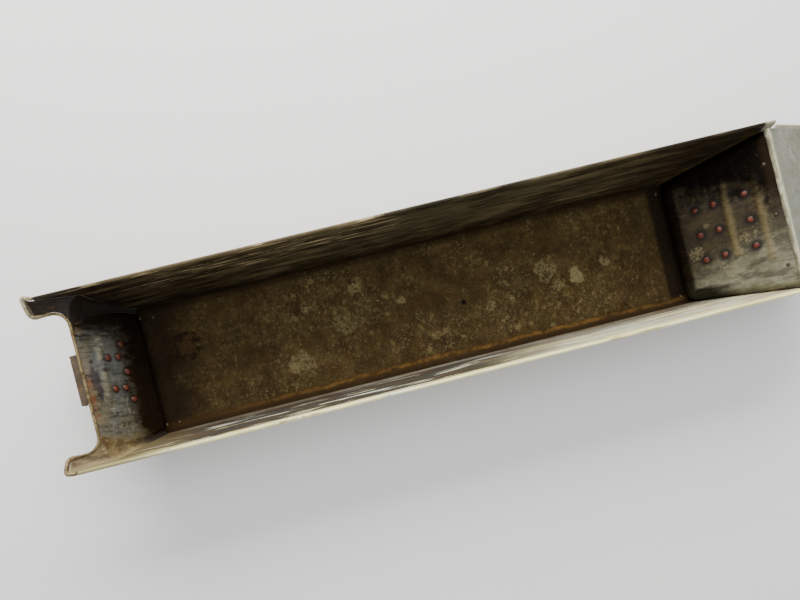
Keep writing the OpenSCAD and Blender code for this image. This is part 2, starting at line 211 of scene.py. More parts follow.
def ring_part(rings, values=None):
    """A closed solid from rings of points, (n, k, 3), with a fan over each end ring."""
    n, k = rings.shape[:2]
    ends = rings[[0, -1]].mean(1)
    verts = np.vstack([rings.reshape(-1, 3), ends])
    around = np.arange(k)
    nxt = (around + 1) % k
    start = np.stack([around, nxt, np.full(k, n * k)], 1)
    stop = np.stack([nxt, around, np.full(k, n * k + 1)], 1) + np.array([(n - 1) * k, (n - 1) * k, 0])
    tris = np.vstack([start, stop])
    quads = grid_quads(n, k, wrap=True).reshape(-1, 4)
    inside = np.zeros(len(quads) + len(tris), int)
    full = {name: np.concatenate([v.ravel(), [0, 0]]) for name, v in (values or {}).items()}
    return turned_out(dict(verts=verts, quads=quads, tris=tris, inside=inside, values=full))


def tube_part(path, radius, sides=20):
    """A round tube: rings square to the path, turned so that one side faces up. The radius may vary."""
    along = np.gradient(path, axis=0)
    along /= np.linalg.norm(along, axis=1, keepdims=True)
    flat = np.cross([0, 0, 1.0], along)
    flat /= np.linalg.norm(flat, axis=1, keepdims=True)
    up = np.cross(along, flat)
    turn = np.linspace(0, 2 * np.pi, sides, endpoint=False)
    radius = np.broadcast_to(radius, len(path))[:, None, None]
    spread = np.cos(turn)[None, :, None] * flat[:, None] + np.sin(turn)[None, :, None] * up[:, None]
    return ring_part(path[:, None] + radius * spread)


def make_piece(name, parts, finishes, replaced):
    """Joins parts into one mesh, in place in the frame, that stands for a CAD node."""
    verts, loops, sizes, mats, names = [], [], [], [], set()
    offset = 0
    for p in parts:
        names |= set(p["values"])
        verts.append(p["verts"])
        loops += [(p["quads"] + offset).ravel(), (p["tris"] + offset).ravel()]
        sizes += [np.full(len(p["quads"]), 4), np.full(len(p["tris"]), 3)]
        mats.append(p["inside"])
        offset += len(p["verts"])
    verts, loops, sizes, mats = map(np.concatenate, (verts, loops, sizes, mats))
    mesh = bpy.data.meshes.new(name)
    mesh.vertices.add(len(verts))
    mesh.vertices.foreach_set("co", verts.astype(np.float32).ravel())
    mesh.loops.add(len(loops))
    mesh.loops.foreach_set("vertex_index", loops.astype(np.int32))
    mesh.polygons.add(len(sizes))
    mesh.polygons.foreach_set("loop_start", (np.cumsum(sizes) - sizes).astype(np.int32))
    mesh.update(calc_edges=True)
    for finish in finishes:
        mesh.materials.append(finish)
    if len(finishes) > 1:
        mesh.polygons.foreach_set("material_index", mats.astype(np.int32))
    mesh.shade_smooth()
    mesh.set_sharp_from_angle(angle=math.radians(38))
    for value in sorted(names):
        layer = mesh.attributes.new(value, "FLOAT", "POINT")
        data = [p["values"].get(value, np.zeros(len(p["verts"]))) for p in parts]
        layer.data.foreach_set("value", np.concatenate(data).astype(np.float32))
    piece = bpy.data.objects.new(name, mesh)
    bpy.context.scene.collection.objects.link(piece)
    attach(piece, BODY)
    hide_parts(replaced)
    return piece


# ---- the folded trough ----
NAIL_HOLE = np.array([88, -10]) * MM
PINHOLE = np.array([203, -58]) * MM
# Below FOOT_H the shell runs on under the end plates' dressed feet, to about where the part's floor
# ends, so that no light comes through beside them
FOOT_H = 15 * MM
INLET_FLOOR_END, DISCHARGE_FLOOR_END = -487 * MM, 500 * MM


def trough_section():
    """Inner face across the trough, near rim to far rim, as (n, 2) points of y and z: flat floor, fold,
    leaning wall, and a curl of 300 degrees round the rim wire; the near half mirrors the far one."""
    turn = math.pi / 2 - SIDE_TILT
    fold_back = FOLD_R * math.tan(turn / 2)
    lean = np.array([math.sin(SIDE_TILT), math.cos(SIDE_TILT)])
    to_rim = np.array([RIM.y - FLOOR_W / 2, RIM.z - SHEET]) @ lean
    curl = math.radians(300)
    half = bent_strip(np.array([0, SHEET]), 0.0, [
        (FLOOR_W / 2 - fold_back, 0, 26), (FOLD_R * turn, turn, 14),
        (to_rim - fold_back, 0, 36), (CURL_R * curl, -curl, 20)])
    return np.vstack([half[::-1] * [-1, 1], half[1:]])


def make_trough_shell(finishes):
    section = trough_section()
    y, z = section[:, 0], section[:, 1]
    inlet_x = -(SEAM_X + FLANGE / math.cos(INLET_LEAN)) - z * math.tan(INLET_LEAN)
    discharge_x = SEAM_X + FLANGE / math.cos(DISCHARGE_LEAN) + z * math.tan(DISCHARGE_LEAN)
    inlet_x = np.where(z < FOOT_H, np.minimum(inlet_x, INLET_FLOOR_END), inlet_x)
    discharge_x = np.where(z < FOOT_H, np.maximum(discharge_x, DISCHARGE_FLOOR_END), discharge_x)
    curled = z > RIM.z - 6 * MM
    inlet_x = np.where(curled, EARS_START_X + 0.5 * MM, inlet_x)
    discharge_x = np.minimum(discharge_x, WALLS_END_X - 0.5 * MM)
    u = np.linspace(0, 1, 236)[:, None]
    x = inlet_x + (discharge_x - inlet_x) * u
    face = np.stack([x, np.broadcast_to(y, x.shape), np.broadcast_to(z, x.shape)], -1)
    # hand-worked waviness: sideways on the walls, upwards only on the floor, none at the rims
    wave = ripple(face, 3, (0.05, 0.3))
    on_wall = smooth((z - 0.012) / 0.03) * smooth((0.131 - z) / 0.02)
    on_floor = smooth((0.006 - z) / 0.003) * smooth((0.45 - np.abs(x)) / 0.03)
    face[..., 1] += 0.9 * MM * wave * on_wall * np.sign(y)
    face[..., 2] += 0.35 * MM * (1 + wave) * on_floor
    face[..., 2] = np.minimum(face[..., 2], CAD_BOX[1][2] - 0.02 * MM)
    part = sheet_part(face, SHEET, (0, 0, 1))
    return make_piece("trough_shell_formed", [part], finishes, "trough_shell")


# ---- end plates ----
SIDE_POINTS, CORNER_POINTS, FOOT_POINTS = 46, 12, 37
CORNER_R = 5 * MM
RIDGE_HALF_W = 9 * MM
INLET_FLANGE_REACH = 552 * MM


def plate_outline(plate, top):
    """Where the flat of an end plate starts to turn: up one side, round a small corner, along the foot,
    and back up the other side. Gives points (s, y), outward directions, and how far the dressed edge
    turns there to lie along the wall or the floor."""
    lean, side_n = plate.lean, math.sin(plate.lean)
    foot_s = (GAP + FOLD_R) / math.cos(lean) + FOLD_R * math.tan(lean)
    inset = (FOLD_R + GAP) / math.cos(SIDE_TILT)
    low_z = SHEET + GAP + FOLD_R
    foot_y = wall_y(low_z) - inset
    top_y = wall_y(low_z + (top - foot_s) * math.cos(lean)) - inset
    rise = np.array([top - foot_s, top_y - foot_y])
    rise /= np.linalg.norm(rise)
    side_out = np.array([-rise[1], rise[0]])
    foot_out = np.array([-1.0, 0.0])
    centre = np.array([foot_s, foot_y]) + np.linalg.solve([side_out, foot_out], [-CORNER_R, -CORNER_R])
    square = math.cos(SIDE_TILT) * side_out[1] - math.cos(lean) * math.sin(SIDE_TILT) * side_out[0]
    side_turn = math.atan2(square, -side_n * math.sin(SIDE_TILT))
    foot_turn = math.pi / 2 + lean
    down = np.linspace(1, 0, SIDE_POINTS)[:, None]
    a = centre + side_out * CORNER_R + down * (np.array([top, top_y]) - centre - side_out * CORNER_R)
    angle = np.linspace(math.atan2(side_out[0], side_out[1]), -math.pi / 2, CORNER_POINTS + 2)[1:-1]
    corner_out = np.stack([np.sin(angle), np.cos(angle)], 1)
    b = centre + corner_out * CORNER_R
    foot = np.linspace(1, 0, FOOT_POINTS, endpoint=False)[:, None]
    c = np.hstack([np.full_like(foot, centre[0] - CORNER_R), foot * centre[1]])
    points = np.vstack([a, b, c])
    outs = np.vstack([np.tile(side_out, (len(a), 1)), corner_out, np.tile(foot_out, (len(c), 1))])
    blend = smooth(np.linspace(0, 1, len(b)))
    turns = np.concatenate([np.full(len(a), side_turn), side_turn + (foot_turn - side_turn) * blend,
                            np.full(len(c), foot_turn)])
    mirrored = [1, -1]
    points = np.vstack([points, (points * mirrored)[::-1]])
    outs = np.vstack([outs, (outs * mirrored)[::-1]])
    return points, outs, np.concatenate([turns, turns[::-1]])


def ridge_height(s, y, ridges):
    """Height of the pressed ridges: (1 - d^2)^2 where d is the distance from the ridge's line over its half
    width."""
    total = np.zeros_like(s)
    for at_s, at_y, length in ridges:
        past = np.maximum(np.abs(y - at_y) - length / 2, 0)
        d = np.hypot(past, s - at_s) / RIDGE_HALF_W
        total += np.clip(1 - d * d, 0, 1) ** 2
    return total


def make_end_plate(name, plate, top, ridges, rivets, finishes, node, reach):
    """An end plate: columns run from the crest line over the flat to the outline, round the dressed edge
    (an arc of the fold's radius) and along the flange that lies on the wall or floor. The flange
    is shortened towards x = `reach`. Its finish reads ridge, halo (near a rivet) and border (near an
    edge)."""
    points, outs, turns = plate_outline(plate, top)
    cols = len(points)
    across = np.linspace(1, -1, cols)
    crest_y = across * (points[0, 1] * 0.96)
    v = np.linspace(0, 1, 96)[:, None]
    s = top + (points[:, 0] - top) * v
    y = crest_y + (points[:, 1] - crest_y) * v
    ridge = ridge_height(s, y, ridges)
    near_rivet = np.full(s.shape, 1.0)
    for rs, ry in rivets:
        near_rivet = np.minimum(near_rivet, np.hypot(s - rs, y - ry))
    halo = np.exp(-((near_rivet / (11 * MM)) ** 2))
    wave = ripple(plate.point(s, y), 11, (0.02, 0.12))
    lift = 2.2 * MM * ridge + 0.35 * MM * wave * smooth((1 - v) * 8) - 0.5 * MM * halo
    flat = plate.point(s, y, lift)
    # the dressed edge
    out3 = outs[:, :1] * plate.up + outs[:, 1:] * np.array([0, 1.0, 0])
    rim = plate.point(points[:, 0], points[:, 1])
    t = np.linspace(0, 1, 22)[1:, None, None]
    phi = t * turns[None, :, None]
    arc = rim + FOLD_R * (np.sin(phi) * out3 - (1 - np.cos(phi)) * plate.out)
    way = np.cos(turns)[:, None] * out3 - np.sin(turns)[:, None] * plate.out
    room = (reach - np.abs(arc[-1, :, 0])) / np.maximum(np.abs(way[:, 0]), 1e-6)
    length = np.clip(room, 1.5 * MM, FLANGE)
    run = arc[-1] + np.linspace(0, 1, 7)[1:, None, None] * (length[:, None] * way)
    face = np.concatenate([flat, arc, run])
    # the face stays clear of the floor's top
    face[..., 2] = np.maximum(face[..., 2], SHEET + GAP)
    side_s, side_y = points[:SIDE_POINTS][::-1].T
    side_y = np.interp(s, side_s, side_y)
    inside_by = np.minimum(side_y - np.abs(y), s - points[:, 0].min())
    border = np.exp(-((np.maximum(inside_by, 0) / (9 * MM)) ** 2))
    fill = np.zeros((len(arc) + len(run), cols))
    values = {"ridge": np.vstack([ridge, fill]), "halo": np.vstack([halo, fill]),
              "border": np.vstack([border, fill + 1])}
    part = sheet_part(face, SHEET, plate.out, values)
    return make_piece(name, [part], finishes, node)


# ---- ears, and the corner fillets that run down from them ----
CLIMB_SHARE = 0.36


def ear_curves(splay, count=90):
    """Three curves of an ear: its inner edge a, the low line k along the wall, and its upper edge b on the
    wall. The first part climbs the corner between plate and wall, the rest runs out past the crest."""
    crest = INLET.point(INLET_SLOPE - BEAD_R, 0.0, -SHEET / 2)
    ear_y = RIM.y - EAR_W
    t = np.linspace(0, 1, count)
    climb = np.clip(t / CLIMB_SHARE, 0, 1)
    out = np.clip((t - CLIMB_SHARE) / (1 - CLIMB_SHARE), 0, 1)
    # up the corner: d is how far the fillet reaches onto the plate and the wall
    foot_s, top_s = 24 * MM, INLET_SLOPE - BEAD_R
    s = foot_s + (top_s - foot_s) * climb
    d = 7 * MM + (EAR_W + EAR_SWEEP - 14 * MM) * climb ** 2.2
    corner = INLET.point(s, wall_y(SHEET + s * math.cos(INLET_LEAN)) - 0.5 * MM, 0.6 * MM)
    a = corner - d[:, None] * np.array([0, 1.0, 0])
    up_wall = np.array([0, math.sin(SIDE_TILT), math.cos(SIDE_TILT)])
    along_wall = np.array([1.0, 0, 0]) * 0.75 + up_wall * 0.05
    b = corner + d[:, None] * along_wall * 0.8
    # past the crest: a quarter sweep, then straight to the tip
    turn = np.minimum(out / 0.5, 1) * math.pi / 2
    straight = (EAR_LEN - 2 * MM - EAR_SWEEP) * np.maximum(2 * out - 1, 0)
    reach = EAR_SWEEP + BEAD_R
    a_out = np.stack([crest[0] - EAR_SWEEP + reach * np.cos(turn) - straight,
                      ear_y - EAR_SWEEP + reach * np.sin(turn),
                      crest[2] + 0.6 * MM + 0 * out], 1)
    a_join, b_join = a[climb < 1][-1], b[climb < 1][-1]
    past = smooth(out * 4)[:, None]
    a = np.where(out[:, None] > 0, a_join * (1 - past) + a_out * past, a)
    rise = smooth(out / 0.8)
    x_wall = b_join[0] + (crest[0] - EAR_LEN + 2 * MM - b_join[0]) * out
    z_wall = b_join[2] + (RIM.z - 1 * MM - b_join[2]) * rise
    flare = splay * np.clip((EARS_START_X - x_wall) / (EARS_START_X - crest[0] + EAR_LEN), 0, 1) ** 2
    b_out = np.stack([x_wall, wall_y(z_wall) - 0.6 * MM + flare, z_wall], 1)
    b = np.where(out[:, None] > 0, b_out, b)
    k_z = crest[2] + 1 * MM + 5 * MM * rise
    k_out = np.stack([corner[-1, 0] + (crest[0] - EAR_LEN + 2 * MM - corner[-1, 0]) * out,
                      wall_y(k_z) - 1.5 * MM + flare, k_z], 1)
    k = np.where(out[:, None] > 0, k_out, corner)
    return a, k, b


def make_ear(name, side, splay, finishes, node):
    """A concave sheet: across it, a quadratic curve (1-v)^2 a + 2v(1-v) k + v^2 b."""
    a, k, b = (curve * [1, side, 1] for curve in ear_curves(splay))
    v = np.linspace(0, 1, 26)[None, :, None]
    face = (1 - v) ** 2 * a[:, None] + 2 * v * (1 - v) * k[:, None] + v ** 2 * b[:, None]
    face[..., 2] += 0.25 * MM * ripple(face, 17, (0.015, 0.06))
    tip = np.clip((EARS_START_X - face[..., 0]) / (20 * MM), 0, 1)
    part = sheet_part(face, 1.0 * MM, (0.1, -0.1 * side, 1), {"tip": tip})
    return make_piece(name, [part], finishes, node)


def inlet_edge_path():
    """The inlet's bound edge from tip to tip: key points along the crest, the sweeps and round the tips,
    joined by even steps and softened by a moving average."""
    crest = INLET.point(INLET_SLOPE - BEAD_R, 0.0, -SHEET / 2)
    ear_y = RIM.y - EAR_W
    tip_x = crest[0] - EAR_LEN + 2 * MM
    halves = []
    for side, splay in ((-1, 0.0), (1, FAR_SPLAY)):
        turn = np.linspace(0, math.pi / 2, 12)
        sweep = np.stack([crest[0] - EAR_SWEEP * (1 - np.cos(turn)), ear_y - EAR_SWEEP * (1 - np.sin(turn)),
                          np.full(12, crest[2])], 1)
        tip = np.array([
            [tip_x + 6 * MM, ear_y, crest[2]],
            [tip_x + 1 * MM, ear_y + 3 * MM, crest[2] + 2 * MM],
            [tip_x, ear_y + 9 * MM, crest[2] + 6 * MM],
            [tip_x - 0.5 * MM, RIM.y - 6 * MM + splay * 0.8, RIM.z - 5 * MM],
            [tip_x + 2 * MM, RIM.y - 2 * MM + splay * 0.8, RIM.z - 1.6 * MM],
            [EARS_START_X - 1 * MM, RIM.y - 0.3 * MM, RIM.z - 0.4 * MM]])
        half = np.vstack([[[crest[0], 0, crest[2]]], sweep, tip]) * [1, side, 1]
        halves.append(half)
    keys = np.vstack([halves[0][::-1], halves[1][1:]])
    run = np.concatenate([[0], np.cumsum(np.linalg.norm(np.diff(keys, axis=0), axis=1))])
    even = np.linspace(0, run[-1], 420)
    path = np.stack([np.interp(even, run, keys[:, i]) for i in range(3)], 1)
    window = np.hanning(13)
    window /= window.sum()
    padded = np.pad(path, ((6, 6), (0, 0)), mode="edge")
    return np.stack([np.convolve(padded[:, i], window, "valid") for i in range(3)], 1)


def make_inlet_edge(finishes):
    path = inlet_edge_path()
    out = np.clip((EARS_START_X + 4 * MM - path[:, 0]) / (14 * MM), 0, 1)
    radius = BEAD_R * (1 + 0.05 * ripple(path, 23, (0.01, 0.05))) + 0.9 * MM * out
    radius = np.minimum(radius, CAD_BOX[1][2] - path[:, 2])
    path[:, 0] = np.maximum(path[:, 0], CAD_BOX[0][0] + radius + 0.1 * MM)
    return make_piece("inlet_edge_bead", [tube_part(path, radius)], finishes,
                      "inlet_edge_wire")


# ---- discharge lip ----
def lip_frame(d, y, up):
    """A point d down the lip, up square to it, from the crest wire's middle."""
    d, y, up = np.broadcast_arrays(d, y, up)
    x = CREST.x + d * math.cos(LIP_FALL) + up * math.sin(LIP_FALL)
    z = CREST.z - d * math.sin(LIP_FALL) + up * math.cos(LIP_FALL)
    return np.stack([x, y, z], -1)


def make_discharge_lip(finishes):
    """The lip: a sheet wrapped over the crest wire, flat down its fall, then raised a little and rolled
    down round the end wire; a leg behind the end plate; and a bead along each side."""
    wrap_r = BEAD_R + 0.05 * MM + SHEET
    wrap = math.radians(150)
    flat_top = wrap_r - 0.2 * MM
    raise_by = LIP_RISE + CURL_R - flat_top
    s_bend = math.radians(32)
    bend_r = raise_by / 2 / (1 - math.cos(s_bend))
    bend_len = bend_r * s_bend
    roll = math.radians(285)
    flat_len = LIP_LEN - 2 * bend_r * math.sin(s_bend)
    start = np.array([-wrap_r * math.sin(wrap), flat_top - wrap_r + wrap_r * math.cos(wrap)])
    wrap_steps, flat_steps, bend_steps = 24, 60, 8
    section = bent_strip(start, wrap, [
        (wrap_r * wrap, -wrap, wrap_steps), (flat_len, 0, flat_steps), (bend_len, s_bend, bend_steps),
        (bend_len, -s_bend, bend_steps), (CURL_R * roll, -roll, 26)])
    neck = wall_y(CREST.z) - 3 * MM
    half = np.interp(section[:, 0], [0, 17 * MM, 24 * MM], [neck, neck, RIM.y - BEAD_R])
    half = np.where(np.arange(len(section)) > wrap_steps + flat_steps + bend_steps, RIM.y, half)
    across = np.linspace(-1, 1, 90)
    y = across * half[:, None]
    face = lip_frame(section[:, :1], y, section[:, 1:])
    fade = smooth((section[:, 0] - 4 * MM) / (20 * MM))
    fade *= smooth((LIP_LEN - 12 * MM - section[:, 0]) / (20 * MM))
    face[..., 2] -= 0.6 * MM * (0.5 + 0.5 * ripple(face, 29, (0.04, 0.2))) * fade[:, None]
    sheet = sheet_part(face, SHEET, (0.3, 0, 1))
    leg_s = np.linspace(DISCHARGE_SLOPE - 29 * MM, DISCHARGE_SLOPE - 5 * MM, 12)[:, None]
    leg = DISCHARGE.point(leg_s, across * (neck - 14 * MM), -SHEET - GAP)
    parts = [sheet, sheet_part(leg, SHEET, DISCHARGE.out)]
    d = np.linspace(24 * MM, LIP_LEN, 60)
    swell = smooth((d - d[0]) / (5 * MM)) * 0.75 + 0.25
    for side in (-1, 1):
        path = lip_frame(d, side * (RIM.y - BEAD_R), LIP_RISE)
        parts.append(tube_part(path, BEAD_R * swell * (1 + 0.04 * ripple(path, 31, (0.01, 0.05)))))
    return make_piece("discharge_lip_formed", parts, finishes, "discharge_lip")


# ---- hangers ----
def make_hanger(name, plate, foot_s, foot_h, top_s, shift, finishes, node):
    """A flat iron bent twice: up behind the end plate, out as a shelf, and down as a lip. Its half width
    follows its length: the foot with clipped corners, then the hook."""
    back = SHEET + GAP
    clip = 5 * MM
    bend_r = 5 * MM
    lean_turn = math.pi / 2 - plate.lean
    set_back = bend_r * math.tan(lean_turn / 2)
    straight = top_s - foot_s - set_back
    shelf = HOOK_SHELF - set_back - bend_r
    section = bent_strip(np.array([foot_s, 0]), 0, [
        (straight, 0, 90), (bend_r * lean_turn, lean_turn, 10), (shelf, 0, 8),
        (bend_r * math.pi / 2, math.pi / 2, 10), (HOOK_DROP - bend_r, 0, 14)])
    at = np.concatenate([[0], np.cumsum(np.linalg.norm(np.diff(section, axis=0), axis=1))])
    foot, hook = FOOT_W / 2, HOOK_W / 2
    half = np.interp(at, [0, clip, foot_h - clip, foot_h, foot_h + 0.8 * MM],
                     [foot - clip, foot, foot, foot - clip, hook])
    y = shift + np.linspace(-1, 1, 60) * half[:, None]
    face = plate.point(section[:, :1], y, -back - section[:, 1:])
    part = sheet_part(face, HANGER_T, plate.out)
    return make_piece(name, [part], finishes, node)


# ---- rivets and solder tacks ----
def dome(d, h, count):
    """Half outline of a domed head as (radius, height): a circular arc from the rim up to the middle."""
    r = (h * h + d * d / 4) / (2 * h)
    angle = np.linspace(math.asin(d / 2 / r), 0.02, count)
    return np.stack([r * np.sin(angle), r * np.cos(angle) - (r - h)], 1)


def make_rivets(name, plate, stations, sizes, finishes, node, sides=26):
    """Rivets turned about their axes: tail dome, shank and hammered head. Head outlines wander by a few
    per cent and each dome is flattened by a few hammer facets."""
    head_d, head_h, shank_d, grip = sizes
    tail = dome(shank_d * 1.6, shank_d * 0.4, 7)[::-1] * [1, -1] - [0, grip]
    shank = np.array([[shank_d / 2, -grip], [shank_d / 2, -0.05 * MM]])
    head = dome(head_d, head_h, 13)
    outline = np.vstack([tail, shank, head])
    turn = np.linspace(0, 2 * np.pi, sides, endpoint=False)
    rng = np.random.default_rng(len(stations) * 7 + sides)
    parts = []
    for s, y in stations:
        phase = rng.uniform(0, 2 * np.pi, 4)
        radius = outline[:, :1] * np.ones(sides)
        height = outline[:, 1:] * np.ones(sides)
        on_head = (outline[:, 1:] >= 0) * 1.0
        wander = 0.045 * np.sin(2 * turn + phase[0]) + 0.03 * np.sin(3 * turn + phase[1])
        radius = radius * (1 + (wander - 0.06) * on_head)
        facet = np.maximum(np.cos(turn - phase[2]), 0) + 0.6 * np.sin(5 * turn + phase[3]) ** 2
        facet = facet * radius / head_d
        height = height * (1 - 0.45 * facet * on_head)
        ring = plate.point(s + radius * np.cos(turn), y + radius * np.sin(turn), height)
        rim = np.broadcast_to(outline[:, :1] / (head_d / 2) * on_head, radius.shape)
        parts.append(ring_part(ring, {"rim": rim}))
    return make_piece(name, parts, finishes, node)


def make_seam_tacks(name, side, plate, finishes, node):
    """Solder tacks each side of an end seam, two on the floor and two on the plate."""
    rng = np.random.default_rng(41)
    turn = np.linspace(0, 2 * np.pi, 20, endpoint=False)
    outline = np.vstack([[[3 * MM, -0.2 * MM]], dome(6 * MM, 1.4 * MM, 9)])
    parts = []
    for y in (-1, 1):
        for on_floor in (True, False):
            wander = 1 + 0.10 * np.sin(2 * turn + rng.uniform(0, 6)) - 0.10
            radius = outline[:, :1] * wander
            height = outline[:, 1:] * np.ones(20)
            at_y = y * (FLOOR_W / 2 - 12 * MM) + radius * np.sin(turn)
            if on_floor:
                x = side * (SEAM_X - 7 * MM) + radius * np.cos(turn)
                ring = np.stack([x, at_y, SHEET + height + 0.3 * MM], -1)
            else:
                ring = plate.point(17 * MM + radius * np.cos(turn), at_y, height)
            parts.append(ring_part(ring))
    return make_piece(name, parts, finishes, node)


# ---- shader work ----
def tone(red, green, blue):
    """A colour from display values of 0 to 255, made linear."""
    shown = np.array([red, green, blue]) / 255
    linear = np.where(shown <= 0.04045, shown / 12.92, ((shown + 0.055) / 1.055) ** 2.4)
    return (*[float(v) for v in linear], 1.0)


class Graph:
    """Adds nodes to a tree. Each input is a value, or the socket that feeds it."""

    def __init__(self, tree):
        self.tree = tree

    def put(self, kind, inputs=None, **settings):
        node = self.tree.nodes.new(kind)
        for name, value in settings.items():
            setattr(node, name, value)
        for key, value in (inputs or {}).items():
            socket = node.inputs[key]
            if isinstance(value, bpy.types.NodeSocket):
                self.tree.links.new(value, socket)
            else:
                socket.default_value = value
        return node

    def math(self, operation, a, b=0.0):
        return self.put("ShaderNodeMath", {0: a, 1: b}, operation=operation).outputs[0]

    def distance(self, a, b):
        return self.put("ShaderNodeVectorMath", {0: a, 1: b}, operation="DISTANCE").outputs[1]

    def pushed(self, value, noise, amount):
        """The value moved up and down by a noise of 0 to 1: value + (noise - 0.5) * amount."""
        return self.math("ADD", value, self.product(self.math("SUBTRACT", noise, 0.5), amount))

    def product(self, *factors):
        total = factors[0]
        for factor in factors[1:]:
            total = self.math("MULTIPLY", total, factor)
        return total

    def rise(self, value, low, high):
        """0 below low, 1 above high, smooth between; falls instead where low is above high."""
        ends = {"Value": value, "From Min": low, "From Max": high}
        fixed = not isinstance(low, bpy.types.NodeSocket) and not isinstance(high, bpy.types.NodeSocket)
        if fixed and low > high:
            ends.update({"From Min": high, "From Max": low, "To Min": 1.0, "To Max": 0.0})
        return self.put("ShaderNodeMapRange", ends, interpolation_type="SMOOTHSTEP").outputs[0]

    def mix(self, share, a, b):
        return self.put("ShaderNodeMix", {0: share, 6: a, 7: b}, data_type="RGBA").outputs[2]

    def over(self, colour, tint, *masks):
        """The colour with a tint laid over it, as strong as the product of the masks."""
        return self.mix(self.product(*masks), colour, tone(*tint))

    def blend(self, share, a, b):
        return self.put("ShaderNodeMix", {0: share, 2: a, 3: b}, data_type="FLOAT").outputs[0]

    def stretch(self, vector, factors):
        return self.put("ShaderNodeVectorMath", {0: vector, 1: factors}, operation="MULTIPLY").outputs[0]

    def noise(self, vector, scale, detail=4.0, rough=0.55, distortion=0.0):
        inputs = {"Vector": vector, "Scale": scale, "Detail": detail, "Roughness": rough,
                  "Distortion": distortion}
        return self.put("ShaderNodeTexNoise", inputs).outputs[0]

    def crystals(self, vector, scale):
        """A random grey for each grain of the zinc's crystal pattern."""
        cells = self.put("ShaderNodeTexVoronoi", {"Vector": vector, "Scale": scale}, feature="F1")
        return self.put("ShaderNodeSeparateXYZ", {0: cells.outputs["Color"]}).outputs[0]

    def use(self, group, **inputs):
        named = {key.replace("_", " "): value for key, value in inputs.items()}
        return self.put("ShaderNodeGroup", named_after(group, named), node_tree=group).outputs[0]


def named_after(group, values):
    """Matches a call's lower-case words to the group's input names."""
    names = [item.name for item in group.interface.items_tree if item.in_out == "INPUT"]
    return {next(n for n in names if n.lower() == key.lower()): v for key, v in values.items()}


def effect(name, inputs, output):
    """A new node group with named inputs and one output; returns it, its graph and its input sockets."""
    group = bpy.data.node_groups.new(name, "ShaderNodeTree")
    for label, kind, value in inputs:
        socket = group.interface.new_socket(label, in_out="INPUT", socket_type=f"NodeSocket{kind}")
        if value is not None:
            socket.default_value = value
    group.interface.new_socket(output, in_out="OUTPUT", socket_type="NodeSocketFloat")
    graph = Graph(group)
    return group, graph, graph.put("NodeGroupInput").outputs


def close_effect(graph, value):
    graph.put("NodeGroupOutput", {0: value})


def mottle_effect():
    """Cloudy stain: two sizes of noise, pushed apart into light and dark."""
    group, g, at = effect("Mottle", [("Vector", "Vector", None), ("Scale", "Float", 10.0),
                                     ("Contrast", "Float", 0.5)], "Mask")
    large = g.noise(at["Vector"], at["Scale"], 5, 0.6, 0.3)
    small = g.noise(at["Vector"], g.math("MULTIPLY", at["Scale"], 4.7), 4, 0.6)
    both = g.blend(0.35, large, small)
    half = g.math("MULTIPLY", g.math("SUBTRACT", 1.0, at["Contrast"]), 0.25)
    low, high = g.math("SUBTRACT", 0.5, half), g.math("ADD", 0.5, half)
    close_effect(g, g.rise(both, low, high))
    return group


def streak_effect():
    """Long rubbed streaks: noise on stretched coordinates, cut off at the share that they cover."""
    group, g, at = effect("Streaks", [("Vector", "Vector", None), ("Scale", "Float", 1.0),
                                      ("Cover", "Float", 0.4), ("Soft", "Float", 0.05)], "Mask")
    value = g.noise(at["Vector"], at["Scale"], 7, 0.62, 0.25)
    edge = g.math("SUBTRACT", 0.72, g.math("MULTIPLY", at["Cover"], 0.44))
    low, high = g.math("SUBTRACT", edge, at["Soft"]), g.math("ADD", edge, at["Soft"])
    close_effect(g, g.rise(value, low, high))
    return group


def mineral_effect():
    """Dried mineral marks, in patches: broken worm-like lines where a noise crosses its middle, crusts and
    flecks."""
    group, g, at = effect("Mineral marks", [("Vector", "Vector", None), ("Scale", "Float", 80.0),
                                            ("Cover", "Float", 0.4)], "Mask")
    winding = g.noise(at["Vector"], at["Scale"], 3, 0.6, 1.6)
    broken = g.rise(g.noise(at["Vector"], g.math("MULTIPLY", at["Scale"], 1.7), 4, 0.6), 0.48, 0.56)
    line = g.product(g.rise(g.math("ABSOLUTE", g.math("SUBTRACT", winding, 0.5)), 0.05, 0.012), broken, 0.7)
    crust = g.rise(g.noise(at["Vector"], g.math("MULTIPLY", at["Scale"], 0.8), 8, 0.68), 0.575, 0.60)
    line = g.math("MAXIMUM", line, crust)
    fleck = g.rise(g.noise(at["Vector"], g.math("MULTIPLY", at["Scale"], 3.1), 2, 0.5), 0.66, 0.72)
    patch_at = g.math("SUBTRACT", 0.70, g.math("MULTIPLY", at["Cover"], 0.4))
    patch_noise = g.noise(at["Vector"], g.math("MULTIPLY", at["Scale"], 0.16), 3, 0.6, 0.5)
    patch = g.rise(patch_noise, g.math("SUBTRACT", patch_at, 0.05), g.math("ADD", patch_at, 0.07))
    close_effect(g, g.math("MULTIPLY", patch, g.math("MAXIMUM", line, fleck)))
    return group


def band_effect():
    """1 within half a width of the middle, fading out over the softness."""
    group, g, at = effect("Band", [("Value", "Float", 0.0), ("Middle", "Float", 0.0),
                                   ("Half", "Float", 0.01), ("Soft", "Float", 0.002)], "Mask")
    away = g.math("ABSOLUTE", g.math("SUBTRACT", at["Value"], at["Middle"]))
    past = g.math("SUBTRACT", away, at["Half"])
    close_effect(g, g.math("SUBTRACT", 1.0, g.rise(past, 0.0, at["Soft"])))
    return group


